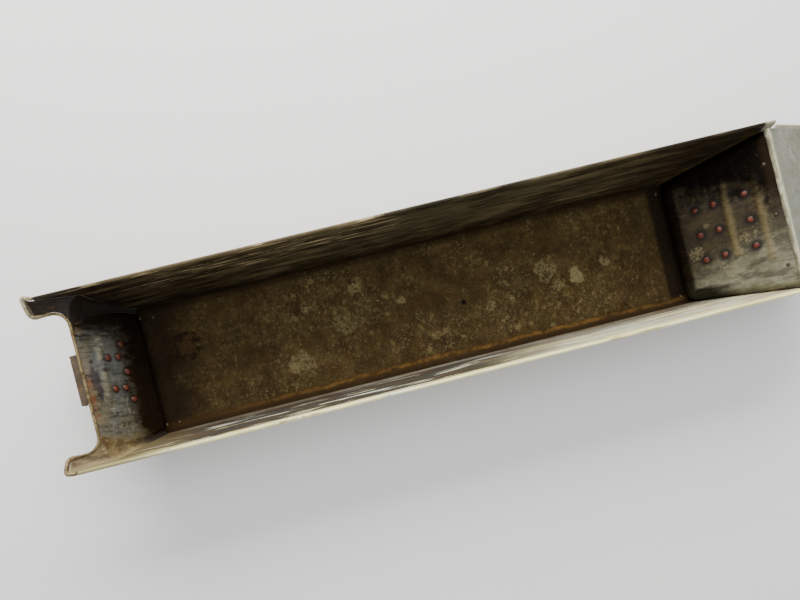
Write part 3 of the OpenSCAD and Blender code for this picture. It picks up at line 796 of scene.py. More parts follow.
def spot_effect():
    """A blot with a ragged outline round a centre."""
    group, g, at = effect("Spot", [("Vector", "Vector", None), ("Centre", "Vector", None),
                                   ("Radius", "Float", 0.01), ("Ragged", "Float", 0.01)], "Mask")
    wander = g.noise(at["Vector"], g.math("DIVIDE", 0.8, at["Radius"]), 5, 0.65)
    push = g.math("MULTIPLY", g.math("SUBTRACT", wander, 0.5), at["Ragged"])
    far = g.distance(at["Vector"], at["Centre"])
    past = g.math("SUBTRACT", g.math("ADD", far, g.math("MULTIPLY", push, 3.0)), at["Radius"])
    close_effect(g, g.math("SUBTRACT", 1.0, g.rise(past, 0.0, g.math("MULTIPLY", at["Radius"], 0.35))))
    return group


def pitting_effect():
    """Height of a pitted, dusty surface: fine grain, shallow dimples and a few deeper pits."""
    group, g, at = effect("Pitting", [("Vector", "Vector", None), ("Scale", "Float", 300.0)], "Height")
    grain = g.noise(at["Vector"], at["Scale"], 6, 0.65)
    pit_scale = g.math("MULTIPLY", at["Scale"], 0.3)
    pit = g.put("ShaderNodeTexVoronoi", {"Vector": at["Vector"], "Scale": pit_scale}, feature="SMOOTH_F1")
    pit = pit.outputs[0]
    dimple = g.noise(at["Vector"], g.math("MULTIPLY", at["Scale"], 0.12), 3, 0.5)
    total = g.math("ADD", g.math("MULTIPLY", grain, 0.5), g.math("MULTIPLY", g.rise(pit, 0.1, 0.5), 0.25))
    close_effect(g, g.math("ADD", total, g.math("MULTIPLY", dimple, 0.9)))
    return group


MOTTLE, STREAKS, MINERAL = mottle_effect(), streak_effect(), mineral_effect()
BAND, SPOT, PITTING = band_effect(), spot_effect(), pitting_effect()


class Finish(Graph):
    """A material: a graph with the object's coordinates at hand and a Principled BSDF to feed. Where an
    effect takes factors, they stretch the coordinates first."""

    def __init__(self, name):
        self.material = bpy.data.materials.new(name)
        self.material.use_nodes = True
        super().__init__(self.material.node_tree)
        self.tree.nodes.clear()
        self.at = self.put("ShaderNodeTexCoord").outputs["Object"]
        split = self.put("ShaderNodeSeparateXYZ", {0: self.at})
        self.x, self.y, self.z = split.outputs

    def here(self, factors):
        return self.stretch(self.at, factors) if factors else self.at

    def cloud(self, scale, contrast, factors=None):
        return self.use(MOTTLE, vector=self.here(factors), scale=scale, contrast=contrast)

    def streaks(self, factors, cover, soft, scale=1.0):
        return self.use(STREAKS, vector=self.here(factors), scale=scale, cover=cover, soft=soft)

    def minerals(self, scale, cover, factors=None):
        return self.use(MINERAL, vector=self.here(factors), scale=scale, cover=cover)

    def pitting(self, scale):
        return self.use(PITTING, vector=self.at, scale=scale)

    def value_of(self, attribute):
        return self.put("ShaderNodeAttribute", attribute_name=attribute).outputs["Fac"]

    def done(self, colour, rough, metallic, height, depth, shine=0.3):
        bump = self.put("ShaderNodeBump", {"Strength": 1.0, "Distance": depth, "Height": height})
        shader = self.put("ShaderNodeBsdfPrincipled", {
            "Base Color": colour, "Roughness": rough, "Metallic": metallic, "Specular IOR Level": shine,
            "Normal": bump.outputs[0]})
        self.put("ShaderNodeOutputMaterial", {0: shader.outputs[0]})
        return self.material


# Pale blots on the floor: x, y, radius and strength
FLOOR_BLOTS = ((0.297, -0.012, 0.011, 0.9), (0.244, 0.012, 0.016, 0.5), (0.354, 0.002, 0.008, 0.6),
               (0.262, -0.020, 0.009, 0.4), (-0.095, 0.060, 0.009, 0.5), (-0.02, 0.02, 0.007, 0.6),
               (-0.19, 0.045, 0.006, 0.6), (0.135, -0.028, 0.008, 0.5), (-0.215, -0.045, 0.018, 0.4),
               (-0.13, 0.004, 0.016, 0.35))
# The middle of the dark ring-shaped stain near the inlet
RING_STAIN = (-0.404, 0.033, SHEET)


def stained_floor(f):
    """Colour of the trough's floor: brown patina wiped across, olive patches, dried mineral marks, pale
    blots, darker ends with painted shade at the inlet end, and grime with painted shade in the groove along
    the discharge plate's foot."""
    broad = f.cloud(scale=8.0, contrast=0.35)
    wiped = f.cloud(scale=60.0, contrast=0.3, factors=(1.0, 0.22, 1.0))
    grit = f.noise(f.at, 420.0, 4, 0.7)
    colour = f.mix(broad, tone(80, 61, 30), tone(54, 39, 16))
    colour = f.over(colour, (94, 76, 44), wiped, 0.65)
    olive = f.cloud(scale=19.0, contrast=0.85, factors=(1.0, 1.3, 1.0))
    colour = f.over(colour, (100, 87, 52), olive, 0.40)
    dark = f.cloud(scale=34.0, contrast=0.5)
    colour = f.over(colour, (36, 24, 8), dark, 0.5)
    colour = f.over(colour, (24, 16, 7), f.rise(grit, 0.44, 0.25))
    colour = f.over(colour, (116, 100, 66), f.rise(grit, 0.58, 0.75), 0.6)
    marks = f.minerals(scale=62.0, cover=0.50)
    middle_of_floor = f.rise(f.math("ABSOLUTE", f.math("SUBTRACT", f.x, 0.05)), 0.42, 0.20)
    colour = f.over(colour, (138, 124, 82), marks, middle_of_floor, 0.62)
    fine_marks = f.minerals(scale=170.0, cover=0.62, factors=(1.0, 0.8, 1.0))
    colour = f.over(colour, (124, 108, 70), fine_marks, 0.6)
    specks = f.rise(f.noise(f.at, 330.0, 2, 0.5), 0.69, 0.73)
    specks = f.product(specks, f.rise(f.noise(f.at, 9.0, 3), 0.48, 0.58))
    colour = f.over(colour, (176, 164, 124), specks, middle_of_floor)
    broken = f.rise(f.noise(f.at, 210.0, 6, 0.7), 0.40, 0.54)
    for cx, cy, radius, share in FLOOR_BLOTS:
        spot = f.use(SPOT, vector=f.at, centre=(cx, cy, SHEET), radius=radius, ragged=radius)
        solid = f.math("MAXIMUM", broken, max(0.0, share - 0.5) * 1.6)
        colour = f.over(colour, (158, 146, 104), spot, solid, share)
    away = f.distance(f.at, RING_STAIN)
    away = f.pushed(away, f.noise(f.at, 55.0, 6, 0.7), 0.05)
    ring = f.use(BAND, value=away, middle=0.020, half=0.002, soft=0.007)
    colour = f.over(colour, (74, 40, 18), f.rise(away, 0.024, 0.010), 0.4)
    colour = f.over(colour, (30, 14, 5), ring, f.rise(f.noise(f.at, 120.0, 4), 0.35, 0.6), 0.9)
    clouded = f.math("MULTIPLY", f.math("SUBTRACT", f.noise(f.at, 26.0, 6, 0.65), 0.5), 0.10)
    # painted shade: dark at the inlet end, under the ears and the leaning plate
    left_end = f.rise(f.math("ADD", f.x, clouded), -0.37, -0.45)
    colour = f.over(colour, (22, 14, 6), left_end, 0.85)
    right_end = f.rise(f.math("ADD", f.x, clouded), 0.40, 0.47)
    colour = f.over(colour, (34, 24, 10), right_end, 0.5)
    uneven = f.math("ADD", f.x, f.math("MULTIPLY", clouded, 0.07))
    # grime with painted shade: dark in the groove under the discharge plate's foot
    groove = f.rise(uneven, SEAM_X - 3 * MM, SEAM_X + 5 * MM)
    colour = f.over(colour, (15, 9, 4), groove, f.blend(f.rise(grit, 0.4, 0.6), 0.95, 0.75))
    lip_line = f.use(BAND, value=uneven, middle=SEAM_X - 3.5 * MM, half=0.4 * MM, soft=2.2 * MM)
    colour = f.over(colour, (84, 64, 36), lip_line, f.rise(grit, 0.42, 0.6), 0.6)
    # painted shade: a dark disc for the nail hole, which the shell doesn't cut
    nail = f.distance(f.at, (*NAIL_HOLE, SHEET))
    return f.over(colour, (8, 5, 3), f.rise(nail, 5.4 * MM, 2.8 * MM))


def far_wall(f):
    """Colour of the far wall: dark olive, partly painted shade, with long rubbed streaks, paler and
    smoother in its middle.
    """
    streaks = f.streaks((7.0, 0.0, 60.0), cover=0.5, soft=0.10)
    # dark olive base, partly painted shade
    colour = f.mix(streaks, tone(44, 36, 23), tone(92, 82, 60))
    smoother = f.product(f.use(BAND, value=f.x, middle=0.1, half=0.12, soft=0.2), f.rise(f.z, 0.04, 0.09))
    colour = f.over(colour, (84, 80, 60), smoother, 0.45)
    dark_run = f.streaks((4.0, 0.0, 50.0), cover=0.50, soft=0.05, scale=1.3)
    colour = f.over(colour, (24, 17, 10), dark_run, 0.75)
    scratch = f.streaks((11.0, 0.0, 300.0), cover=0.30, soft=0.03)
    everywhere = f.streaks((16.0, 0.0, 420.0), cover=0.38, soft=0.04)
    colour = f.over(colour, (128, 114, 84), everywhere, 0.35)
    where = f.product(f.rise(f.x, 0.10, -0.15), f.rise(f.z, 0.07, 0.105))
    colour = f.over(colour, (206, 184, 142), scratch, where, 0.9)
    uneven = f.product(f.noise(f.stretch(f.at, (8.0, 1.0, 1.0)), 4.0), 0.03)
    foot = f.rise(f.math("ADD", f.z, uneven), 0.065, 0.02)
    colour = f.over(colour, (20, 13, 6), foot, 0.9)
    ends = f.rise(f.math("ABSOLUTE", f.math("SUBTRACT", f.x, 0.02)), 0.26, 0.54)
    colour = f.over(colour, (26, 18, 8), ends, 0.6)
    # painted shade: darker in the inlet corner, under the far ear
    corner = f.rise(f.math("ADD", f.x, f.product(streaks, 0.05)), -0.38, -0.47)
    corner = f.product(corner, f.rise(f.z, 0.135, 0.10))
    colour = f.over(colour, (20, 13, 6), corner, 0.85)
    # pale along the rim's top in the left half: wear, partly a painted highlight
    rim = f.product(f.rise(f.z, 0.1335, 0.1375), f.rise(f.x, 0.05, -0.15), f.rise(f.x, -0.50, -0.42))
    colour = f.over(colour, (170, 150, 112), rim, f.math("ADD", scratch, 0.3), 0.7)
    # the end of the discharge plate's flange shows as a pale line up the wall
    flange_line = f.math("SUBTRACT", f.x, f.math("MULTIPLY", f.z, math.tan(DISCHARGE_LEAN)))
    line = f.use(BAND, value=flange_line, middle=SEAM_X + 2 * MM, half=1.2 * MM, soft=3 * MM)
    colour = f.over(colour, (88, 70, 38), line, 0.6)
    # painted shade: dark on the wall beyond that line, in the groove behind the plate's dressed edge
    beyond = f.rise(flange_line, SEAM_X + 4 * MM, SEAM_X + 10 * MM)
    return f.over(colour, (14, 9, 5), beyond, 0.85)


def near_wall(f):
    """Colour of the near wall: bright cream and silver, partly painted light, with long slate-grey rubs,
    brown scratches and painted shade towards its foot.
    """
    silver = f.streaks((4.0, 0.0, 60.0), cover=0.55, soft=0.08)
    # cream and silver zinc, made brighter as painted light
    colour = f.mix(silver, tone(255, 248, 186), tone(226, 226, 208))
    # painted shade: greyer towards the foot, where the far wall's shadow falls
    foot = f.rise(f.z, 0.085, 0.03)
    colour = f.over(colour, (142, 142, 134), foot, 0.8)
    slate = f.streaks((6.5, 0.0, 84.0), cover=0.68, soft=0.025, scale=1.1)
    below_rim = f.product(f.rise(f.z, 0.137, 0.126), f.rise(f.z, 0.015, 0.04))
    left_and_middle = f.rise(f.x, 0.30, 0.05)
    colour = f.over(colour, (34, 36, 42), slate, below_rim, f.blend(left_and_middle, 0.25, 1.0), 0.95)
    brown = f.streaks((7.0, 3.0, 120.0), cover=0.36, soft=0.03)
    colour = f.over(colour, (150, 98, 48), brown, f.blend(f.rise(f.x, -0.1, 0.3), 0.3, 1.0), 0.8)
    fine = f.streaks((12.0, 3.0, 420.0), cover=0.40, soft=0.03)
    colour = f.over(colour, (74, 66, 48), fine, 0.65)
    rim = f.streaks((9.0, 1.0, 90.0), cover=0.62, soft=0.08)
    colour = f.over(colour, (255, 246, 176), f.rise(f.z, 0.122, 0.132), rim, 0.75)
    olive_end = f.rise(f.x, -0.36, -0.52)
    return f.over(colour, (116, 102, 68), olive_end, 0.8)


def inside_finish():
    """The trough's inside: floor, near wall and far wall, each where it lies, the near wall holding painted
    light and the far wall painted shade, with a rust line along the near side of the floor, painted shade
    in the folds, and the pinhole as a dark dot of painted shade."""
    f = Finish("Trough inside")
    wall = f.rise(f.z, 8 * MM, 15 * MM)
    far_side = f.rise(f.y, -0.02, 0.02)
    floor = stained_floor(f)
    # painted light and shade: the near wall takes a bright lit copy of the sheet's tones, the far wall a
    # dark shaded copy
    walls = f.mix(far_side, near_wall(f), far_wall(f))
    colour = f.mix(wall, floor, walls)
    wander = f.noise(f.stretch(f.at, (1, 0, 0)), 13.0, 6, 0.62)
    bow = f.product(f.math("ABSOLUTE", f.x), 0.010)
    line_y = f.math("ADD", f.pushed(f.y, wander, 0.020), bow)
    rust = f.use(BAND, value=line_y, middle=-0.0935, half=0.0012, soft=0.0036)
    blush = f.use(BAND, value=line_y, middle=-0.099, half=0.004, soft=0.012)
    patchy = f.rise(f.noise(f.stretch(f.at, (1, 0.3, 0.3)), 14.0, 5, 0.65), 0.30, 0.5)
    strongest = f.rise(f.math("ABSOLUTE", f.math("SUBTRACT", f.x, 0.08)), 0.52, 0.20)
    colour = f.over(colour, (70, 46, 15), blush, 0.7)
    speckled = f.rise(f.noise(f.at, 48.0, 7, 0.72), 0.36, 0.58)
    colour = f.over(colour, (134, 98, 48), rust, patchy, strongest, speckled, 0.85)
    fold_shadow = f.use(BAND, value=f.z, middle=0.0075, half=0.0030, soft=0.006)
    colour = f.over(colour, (26, 19, 10), fold_shadow, 0.75)
    # painted shade: a dark dot for the pinhole, which the shell doesn't cut
    tiny = f.distance(f.at, (*PINHOLE, SHEET))
    colour = f.over(colour, (12, 9, 6), f.rise(tiny, 0.0022, 0.001))
    near_metal = f.product(wall, f.math("SUBTRACT", 1.0, far_side))
    rim_end = f.product(f.rise(f.x, 0.602, 0.609), f.rise(f.z, 0.118, 0.124))
    colour = f.over(colour, (158, 152, 130), rim_end, 0.9)
    rough = f.blend(near_metal, f.blend(wall, 0.72, 0.55), 0.38)
    metallic = f.product(near_metal, 0.12)
    brushed = f.noise(f.stretch(f.at, (14.0, 30.0, 300.0)), 1.0, 5, 0.6)
    pits = f.pitting(420.0)
    wall_height = f.math("ADD", f.math("MULTIPLY", pits, 0.4), f.math("MULTIPLY", brushed, 0.9))
    height = f.blend(wall, pits, wall_height)
    return f.done(colour, rough, metallic, height, 0.9 * MM, f.blend(wall, 0.08, 0.12))


def outside_finish():
    """Weathered zinc outside: grey with brown runs down from the rims and dusty mottling."""
    f = Finish("Weathered zinc outside")
    cloud = f.cloud(scale=11.0, contrast=0.3)
    colour = f.mix(cloud, tone(142, 142, 130), tone(112, 110, 98))
    runs = f.streaks((34.0, 34.0, 5.0), cover=0.42, soft=0.12)
    colour = f.over(colour, (96, 80, 56), runs, 0.55)
    colour = f.over(colour, (172, 174, 166), f.crystals(f.at, 90.0), 0.28)
    under = f.rise(f.z, 0.03, 0.002)
    colour = f.over(colour, (86, 70, 46), under, f.cloud(scale=20.0, contrast=0.4), 0.6)
    marks = f.minerals(scale=70.0, cover=0.45)
    colour = f.over(colour, (190, 186, 168), marks, 0.4)
    rough = f.blend(f.noise(f.at, 40.0), 0.48, 0.7)
    return f.done(colour, rough, 0.45, f.pitting(300.0), 0.5 * MM)


def inlet_plate_finish():
    """The inlet plate: grey-green zinc with a blue cast, brown and dark towards the floor, painted shade
    along the far side, a painted highlight on the ridge, a rust stripe inside the crest and a long dark
    blot."""
    f = Finish("Inlet plate")
    down = f.stretch(f.at, (40.0, 150.0, 30.0))
    cloud = f.cloud(scale=26.0, contrast=0.3)
    colour = f.mix(cloud, tone(98, 94, 76), tone(64, 56, 42))
    blue = f.product(f.cloud(scale=15.0, contrast=0.6), f.rise(f.z, 0.045, 0.075))
    colour = f.over(colour, (82, 88, 90), blue, 0.7)
    runs = f.noise(down, 1.0, 6, 0.65)
    colour = f.over(colour, (34, 26, 16), f.rise(runs, 0.5, 0.66), 0.75)
    colour = f.over(colour, (150, 146, 122), f.rise(runs, 0.42, 0.28), 0.6)
    fleck = f.rise(f.noise(f.stretch(f.at, (1.0, 0.6, 1.0)), 190.0, 6, 0.75), 0.52, 0.66)
    colour = f.over(colour, (158, 150, 120), fleck, f.rise(f.y, 0.05, -0.06), 0.45)
    near_olive = f.rise(f.pushed(f.y, cloud, 0.02), -0.078, -0.108)
    colour = f.mix(f.product(near_olive, 0.75), colour, f.mix(runs, tone(84, 70, 42), tone(122, 108, 76)))
    low = f.rise(f.pushed(f.z, cloud, 0.03), 0.080, 0.040)
    colour = f.over(colour, (24, 16, 8), low, 0.97)
    # painted shade: dark across the far side, where the far wall and far ear shade the plate
    far_side_painted_shade = f.rise(f.pushed(f.y, runs, 0.06), 0.050, 0.095)
    colour = f.over(colour, (20, 14, 8), far_side_painted_shade, 0.93)
    # painted highlight: pale on the pressed ridge's crest
    ridge = f.product(f.rise(f.value_of("ridge"), 0.2, 0.9), f.rise(runs, 0.58, 0.38),
                      f.rise(f.y, -0.02, 0.02))
    colour = f.over(colour, (142, 132, 102), ridge, 0.6)
    stretched = f.stretch(f.at, (1.0, 0.30, 1.0))
    blot_at = INLET.point(127 * MM, -9 * MM)
    blot = f.use(SPOT, vector=stretched, centre=(blot_at[0], blot_at[1] * 0.3, blot_at[2]), radius=0.0070,
                 ragged=0.007)
    colour = f.over(colour, (44, 36, 42), blot, 0.85)
    stripe = f.product(f.use(BAND, value=f.z, middle=0.1145, half=0.0012, soft=0.004),
                       f.use(BAND, value=f.y, middle=-0.030, half=0.022, soft=0.020))
    colour = f.over(colour, (116, 66, 36), stripe, f.rise(f.noise(f.at, 90.0, 5, 0.7), 0.35, 0.6), 0.8)
    top = f.rise(f.z, 0.100, 0.116)
    colour = f.over(colour, (118, 100, 74), top, f.rise(runs, 0.6, 0.4), 0.5)
    colour = f.over(colour, (34, 26, 18), f.rise(f.value_of("halo"), 0.3, 0.9), 0.75)
    rough = f.blend(cloud, 0.42, 0.62)
    height = f.math("ADD", f.pitting(300.0), f.math("MULTIPLY", runs, 0.6))
    gloss = f.product(f.math("SUBTRACT", 1.0, low), f.math("SUBTRACT", 1.0, far_side_painted_shade), 0.3)
    return f.done(colour, rough, 0.08, height, 1.2 * MM, gloss)


# Pale blots on the discharge plate, in mm: distance up the slope, offset across and radius
PLATE_BLOTS = ((62, -30, 10), (124, -46, 7), (96, -62, 5), (84, 12, 4), (137, -26, 6), (108, -78, 7),
               (152, -24, 5), (72, -52, 4))


def discharge_plate_finish():
    """The discharge plate: grimy olive-brown low down, painted shade at the far side and with grime along
    its low edges, grey-green zinc towards the crest and the near side, pale ridge crests painted as a
    highlight and dark rings round the rivets."""
    f = Finish("Discharge plate")
    cloud = f.cloud(scale=24.0, contrast=0.35)
    fine = f.noise(f.at, 150.0, 5, 0.65)
    grime = f.mix(cloud, tone(66, 54, 28), tone(34, 25, 11))
    zinc = f.mix(cloud, tone(126, 126, 106), tone(92, 88, 68))
    towards = f.math("ADD", f.math("MULTIPLY", f.z, 0.55), f.math("MULTIPLY", f.y, -1.0))
    towards = f.pushed(towards, fine, 0.05)
    colour = f.mix(f.rise(towards, 0.055, 0.135), grime, zinc)
    stain = f.streaks((30.0, 90.0, 20.0), cover=0.46, soft=0.10)
    colour = f.over(colour, (28, 20, 10), stain, 0.6)
    marks = f.minerals(scale=90.0, cover=0.5)
    colour = f.over(colour, (104, 96, 66), marks, 0.4)
    broken = f.rise(f.noise(f.at, 240.0, 6, 0.7), 0.42, 0.56)
    for up, across, radius in PLATE_BLOTS:
        at = DISCHARGE.point(up * MM, across * MM)
        spot = f.use(SPOT, vector=f.at, centre=tuple(float(c) for c in at), radius=radius * MM,
                     ragged=radius * MM)
        colour = f.over(colour, (118, 110, 80), spot, broken, 0.55)
    # painted highlight: pale on the pressed ridges' crests
    ridge = f.product(f.value_of("ridge"), f.rise(fine, 0.20, 0.50))
    colour = f.over(colour, (112, 98, 64), ridge, 0.6)
    colour = f.over(colour, (16, 11, 7), f.rise(f.value_of("halo"), 0.10, 0.7), 0.85)
    # grime with painted shade: dark along the plate's low edges, in the groove against floor and walls
    edged = f.pushed(f.value_of("border"), fine, 0.8)
    border = f.product(f.rise(edged, 0.15, 0.9), f.rise(f.z, 0.085, 0.045))
    colour = f.over(colour, (16, 10, 4), border, 0.9)
    # painted shade: dark along the far side, where the far wall shades the plate
    edge = f.math("ADD", f.y, f.product(f.z, f.z, 4.0))
    far_side_painted_shade = f.rise(f.pushed(edge, cloud, 0.03), 0.055, 0.105)
    shadow = f.mix(f.rise(f.noise(f.at, 130.0, 5, 0.7), 0.55, 0.75), tone(9, 6, 4), tone(40, 30, 20))
    colour = f.mix(f.product(far_side_painted_shade, 0.96), colour, shadow)
    crest_line = f.product(f.rise(f.z, 0.118, 0.126), f.rise(f.y, -0.05, 0.0))
    colour = f.over(colour, (40, 30, 20), crest_line, 0.7)
    rough = f.blend(cloud, 0.42, 0.62)
    height = f.math("ADD", f.pitting(280.0), f.math("MULTIPLY", fine, 0.5))
    gloss = f.blend(f.math("MAXIMUM", far_side_painted_shade, border), 0.25, 0.03)
    return f.done(colour, rough, 0.0, height, 1.2 * MM, gloss)


def ear_finish():
    """An ear: scuffed olive-brown sheet, pale on the near ear and darker on the far ear as painted light
    and shade, with painted shade low in the corner, rubbed pale grey at its tip.
    """
    f = Finish("Ear")
    scuffed = f.noise(f.stretch(f.at, (60.0, 170.0, 170.0)), 1.0, 6, 0.65, 0.4)
    cloud = f.cloud(scale=40.0, contrast=0.4)
    # painted light and shade: the near ear takes pale tones, the far ear darker copies of them
    near_side = f.rise(f.y, 0.02, -0.02)
    base = f.mix(near_side, tone(44, 31, 16), tone(112, 98, 68))
    second = f.mix(near_side, tone(24, 16, 8), tone(78, 64, 38))
    colour = f.mix(cloud, base, second)
    colour = f.mix(f.product(f.rise(scuffed, 0.54, 0.66), 0.5), colour, f.mix(near_side, tone(76, 52, 26),
                                                                                tone(134, 96, 52)))
    pale = f.mix(near_side, tone(92, 80, 56), tone(176, 162, 122))
    colour = f.mix(f.product(f.rise(scuffed, 0.42, 0.28), 0.7), colour, pale)
    scratch = f.streaks((22.0, 130.0, 130.0), cover=0.5, soft=0.04)
    colour = f.over(colour, (62, 46, 24), scratch, near_side, 0.6)
    to_wall = f.product(near_side, f.rise(f.math("ADD", f.y, f.math("MULTIPLY", f.z, 0.2)), -0.098, -0.108))
    colour = f.over(colour, (168, 152, 108), to_wall, 0.5)
    # painted shade: dark low down in the corner between plate and wall, darkest in the far corner
    low = f.rise(f.z, 0.085, 0.045)
    colour = f.over(colour, (22, 15, 7), low, 0.95)
    corner = f.product(f.rise(f.x, -0.548, -0.528), f.rise(f.y, 0.02, 0.05))
    colour = f.over(colour, (16, 10, 5), corner, 0.8)
    tip = f.rise(f.value_of("tip"), 0.55, 0.95)
    colour = f.over(colour, (196, 186, 160), tip, f.rise(scuffed, 0.3, 0.5), 0.8)
    height = f.math("ADD", f.pitting(300.0), scuffed)
    return f.done(colour, 0.5, 0.1, height, 0.9 * MM, 0.3)


def lip_finish():
    """The discharge lip: pale galvanised sheet with a faint crystal pattern, rubbed cream along its rolled
    edges and stained brown beside the crest."""
    f = Finish("Discharge lip")
    cloud = f.cloud(scale=18.0, contrast=0.15)
    colour = f.mix(cloud, tone(130, 133, 118), tone(106, 107, 90))
    colour = f.over(colour, (150, 154, 142), f.crystals(f.at, 110.0), 0.25)
    fine = f.noise(f.stretch(f.at, (60.0, 14.0, 60.0)), 3.0, 6, 0.65)
    colour = f.over(colour, (108, 104, 84), f.rise(fine, 0.55, 0.72), 0.35)
    edge = f.rise(f.math("ABSOLUTE", f.y), RIM.y - 9 * MM, RIM.y - 3 * MM)
    crest = f.rise(f.x, CREST.x + 9 * MM, CREST.x + 1 * MM)
    outer = f.math("MAXIMUM", edge, crest)
    worn = f.streaks((40.0, 40.0, 40.0), cover=0.8, soft=0.15)
    colour = f.over(colour, (214, 208, 176), outer, worn, 0.8)
    inner = f.use(BAND, value=f.x, middle=CREST.x - 2.5 * MM, half=1 * MM, soft=2 * MM)
    colour = f.over(colour, (70, 62, 44), inner, f.rise(fine, 0.35, 0.55), 0.7)
    marks = f.minerals(scale=60.0, cover=0.42)
    colour = f.over(colour, (210, 206, 186), marks, 0.35)
    height = f.pitting(240.0)
    return f.done(colour, f.blend(cloud, 0.40, 0.55), 0.2, height, 0.5 * MM)


def bright_edge_finish():
    """Bound edges rubbed cream-bright, with brown left in the hollows and painted shade on the far half."""
    f = Finish("Bright edge")
    worn = f.cloud(scale=70.0, contrast=0.5)
    tip = f.rise(f.x, -0.572, -0.590)
    # painted shade: the far half takes darker copies of the pale tones
    near_side = f.rise(f.y, 0.02, -0.02)
    pale = f.mix(near_side, f.mix(worn, tone(208, 198, 170), tone(140, 124, 96)),
                 f.mix(worn, tone(150, 132, 100), tone(92, 72, 46)))
    colour = f.mix(tip, f.mix(worn, tone(150, 136, 98), tone(84, 66, 38)), pale)
    spots = f.rise(f.noise(f.at, 240.0, 4, 0.6), 0.56, 0.68)
    colour = f.over(colour, (92, 66, 38), spots, 0.7)
    return f.done(colour, f.blend(worn, 0.35, 0.6), 0.4, f.pitting(420.0), 0.4 * MM)


def iron_finish():
    """Flat iron with an even coat of brown rust, darker in its pits and orange where it is fresh."""
    f = Finish("Brown iron")
    cloud = f.cloud(scale=55.0, contrast=0.3)
    colour = f.mix(cloud, tone(92, 80, 66), tone(72, 60, 47))
    grain = f.noise(f.at, 600.0, 5, 0.7)
    colour = f.over(colour, (58, 40, 26), f.rise(grain, 0.58, 0.72), 0.7)
    fresh = f.streaks((60.0, 60.0, 60.0), cover=0.3, soft=0.08)
    colour = f.over(colour, (140, 84, 44), fresh, 0.45)
    height = f.math("ADD", f.pitting(500.0), f.math("MULTIPLY", grain, 0.5))
    return f.done(colour, f.blend(cloud, 0.7, 0.88), 0.1, height, 0.6 * MM)


def copper_finish():
    """Old copper: red-brown on the crowns, darkened to nearly black at the rims, with pale flecks."""
    f = Finish("Old copper")
    cloud = f.cloud(scale=160.0, contrast=0.4)
    colour = f.mix(cloud, tone(108, 50, 33), tone(68, 31, 20))
    colour = f.over(colour, (30, 17, 12), f.rise(f.value_of("rim"), 0.55, 0.95))
    fleck = f.rise(f.noise(f.at, 380.0, 3, 0.6), 0.60, 0.70)
    colour = f.over(colour, (168, 120, 96), fleck, 0.6)
    height = f.pitting(500.0)
    return f.done(colour, f.blend(cloud, 0.36, 0.55), 0.15, height, 0.5 * MM)


def tinned_finish():
    """Small tinned rivets and solder: dull grey with brown settled round the edges."""
    f = Finish("Tinned")
    cloud = f.cloud(scale=180.0, contrast=0.4)
    colour = f.mix(cloud, tone(82, 72, 52), tone(48, 38, 24))
    colour = f.over(colour, (34, 25, 14), f.rise(f.value_of("rim"), 0.6, 1.0))
    return f.done(colour, 0.5, 0.2, f.pitting(600.0), 0.3 * MM)


def wire_finish():
    """Plain steel wire, brown with thin rust."""
    f = Finish("Rim wire")
    cloud = f.cloud(scale=90.0, contrast=0.4)
    colour = f.mix(cloud, tone(126, 116, 100), tone(90, 72, 52))
    return f.done(colour, 0.55, 0.6, f.pitting(500.0), 0.3 * MM)


# ---- the object ----
inside, outside = inside_finish(), outside_finish()
bright_edge, iron, copper = bright_edge_finish(), iron_finish(), copper_finish()
tinned, wire, lip_zinc, ear_zinc = tinned_finish(), wire_finish(), lip_finish(), ear_finish()
HANGER_BACK = SHEET + GAP + HANGER_T

make_trough_shell([inside, outside])
make_end_plate("inlet_plate_formed", INLET, INLET_SLOPE - 2 * BEAD_R, INLET_RIDGES, INLET_RIVETS,
               [inlet_plate_finish(), outside], "inlet_end_plate", INLET_FLANGE_REACH)
make_end_plate("discharge_plate_formed", DISCHARGE, DISCHARGE_SLOPE - 2 * BEAD_R - SHEET, DISCHARGE_RIDGES,
               DISCHARGE_RIVETS, [discharge_plate_finish(), outside], "discharge_end_plate", WALLS_END_X)
make_ear("far_ear_formed", 1, FAR_SPLAY, [ear_zinc, outside], "far_ear")
make_ear("near_ear_formed", -1, 0.0, [ear_zinc, outside], "near_ear")
make_inlet_edge([bright_edge])
make_discharge_lip([lip_zinc, outside])
make_hanger("inlet_hanger_bent", INLET, foot_s=57 * MM, foot_h=28 * MM, top_s=140 * MM, shift=3 * MM,
            finishes=[iron], node="inlet_hanger")
make_hanger("discharge_hanger_bent", DISCHARGE, foot_s=61 * MM, foot_h=101 * MM, top_s=165 * MM,
            shift=-1 * MM, finishes=[iron], node="discharge_hanger")
BURR_T = 1.2 * MM
copper_sizes = (RIVET_D, RIVET_H, SHANK_D, HANGER_BACK + BURR_T)
make_rivets("inlet_copper_rivets", INLET, INLET_RIVETS, copper_sizes, [copper], "inlet_rivets")
make_rivets("discharge_copper_rivets", DISCHARGE, DISCHARGE_RIVETS, copper_sizes, [copper],
            "discharge_rivets")
make_rivets("inlet_tinned_rivets", INLET, INLET_SMALL, (SMALL_D, SMALL_H, SMALL_SHANK_D, HANGER_BACK),
            [tinned], "inlet_small_rivets")
make_rivets("lip_tinned_rivets", DISCHARGE, LIP_RIVETS, (SMALL_D, SMALL_H, SMALL_SHANK_D, 2 * SHEET + GAP),
            [tinned], "discharge_lip_rivets")
make_seam_tacks("inlet_solder_tacks", -1, INLET, [tinned], "inlet_seam_tacks")
make_seam_tacks("discharge_solder_tacks", 1, DISCHARGE, [tinned], "discharge_seam_tacks")

for node, finish in (("far_rim_wire", wire), ("near_rim_wire", wire), ("discharge_lip_wire", wire),
                     ("discharge_crest_wire", bright_edge), ("inlet_rivet_burrs", copper),
                     ("discharge_rivet_burrs", copper)):
    for material_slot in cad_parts[node].material_slots:
        material_slot.material = finish


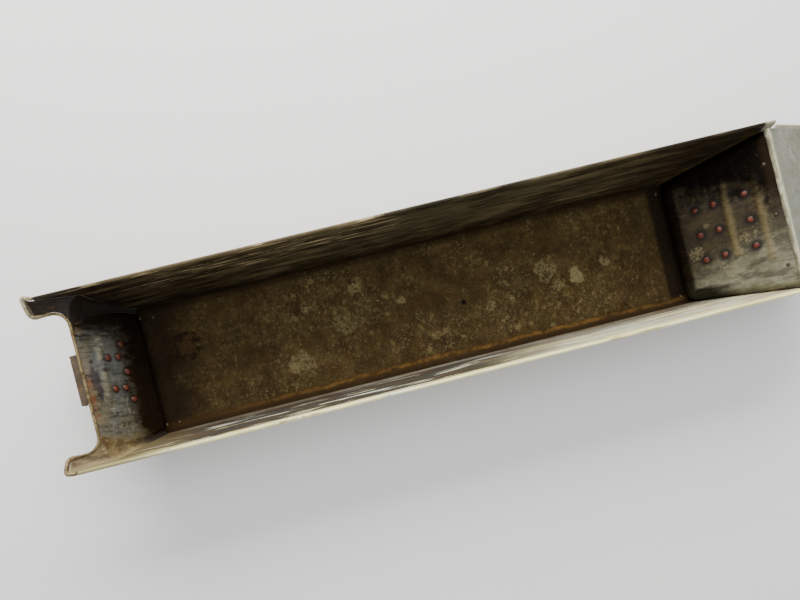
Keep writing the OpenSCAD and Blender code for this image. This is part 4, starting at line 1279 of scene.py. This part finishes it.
# ---- floor, light and camera ----
def pale_floor():
    """A plain pale floor, finely toned so that it isn't perfectly even."""
    f = Finish("Pale floor")
    cloud = f.cloud(scale=1.5, contrast=0.0)
    colour = f.mix(cloud, tone(251, 251, 251), tone(249, 249, 249))
    corners = np.array([[-6, -6], [6, -6], [6, 6], [-6, 6]], float)
    mesh = bpy.data.meshes.new("floor")
    mesh.from_pydata([(x, y, -0.2 * MM) for x, y in corners], [], [(0, 1, 2, 3)])
    mesh.materials.append(f.done(colour, 0.9, 0.0, f.noise(f.at, 200.0), 0.1 * MM))
    floor = bpy.data.objects.new("floor", mesh)
    bpy.context.scene.collection.objects.link(floor)


def soft_light(name, place, target, size, power, tint):
    lamp = bpy.data.lights.new(name, "AREA")
    lamp.shape, lamp.size, lamp.size_y = "RECTANGLE", size[0], size[1]
    lamp.energy, lamp.color = power, tint
    light = bpy.data.objects.new(name, lamp)
    look = Vector(target) - Vector(place)
    light.matrix_world = Matrix.Translation(place) @ look.to_track_quat("-Z", "Y").to_matrix().to_4x4()
    bpy.context.scene.collection.objects.link(light)


pale_floor()
soft_light("far_softbox", (0.1, 1.9, 1.15), (0, -0.1, 0.1), (3.0, 1.1), 112, (1.0, 0.98, 0.93))
soft_light("top_softbox", (0.0, 0.2, 2.4), (0, 0, 0), (3.0, 3.0), 30, (1.0, 1.0, 1.0))
world = bpy.data.worlds.new("studio")
world.use_nodes = True
world.node_tree.nodes["Background"].inputs[0].default_value = (1.0, 1.0, 1.0, 1.0)
world.node_tree.nodes["Background"].inputs[1].default_value = 0.63
bpy.context.scene.world = world

lens = bpy.data.cameras.new("camera")
lens.lens, lens.sensor_width = 28.35, 36.0
lens.shift_y = 0.118
lens.clip_start, lens.clip_end = 0.01, 50
camera = bpy.data.objects.new("camera", lens)
camera.rotation_euler = (0.0, math.radians(-2.583), math.radians(-14.125))
camera.location = (-0.1116, -0.1294, 1.1203)
bpy.context.scene.collection.objects.link(camera)
bpy.context.scene.camera = camera
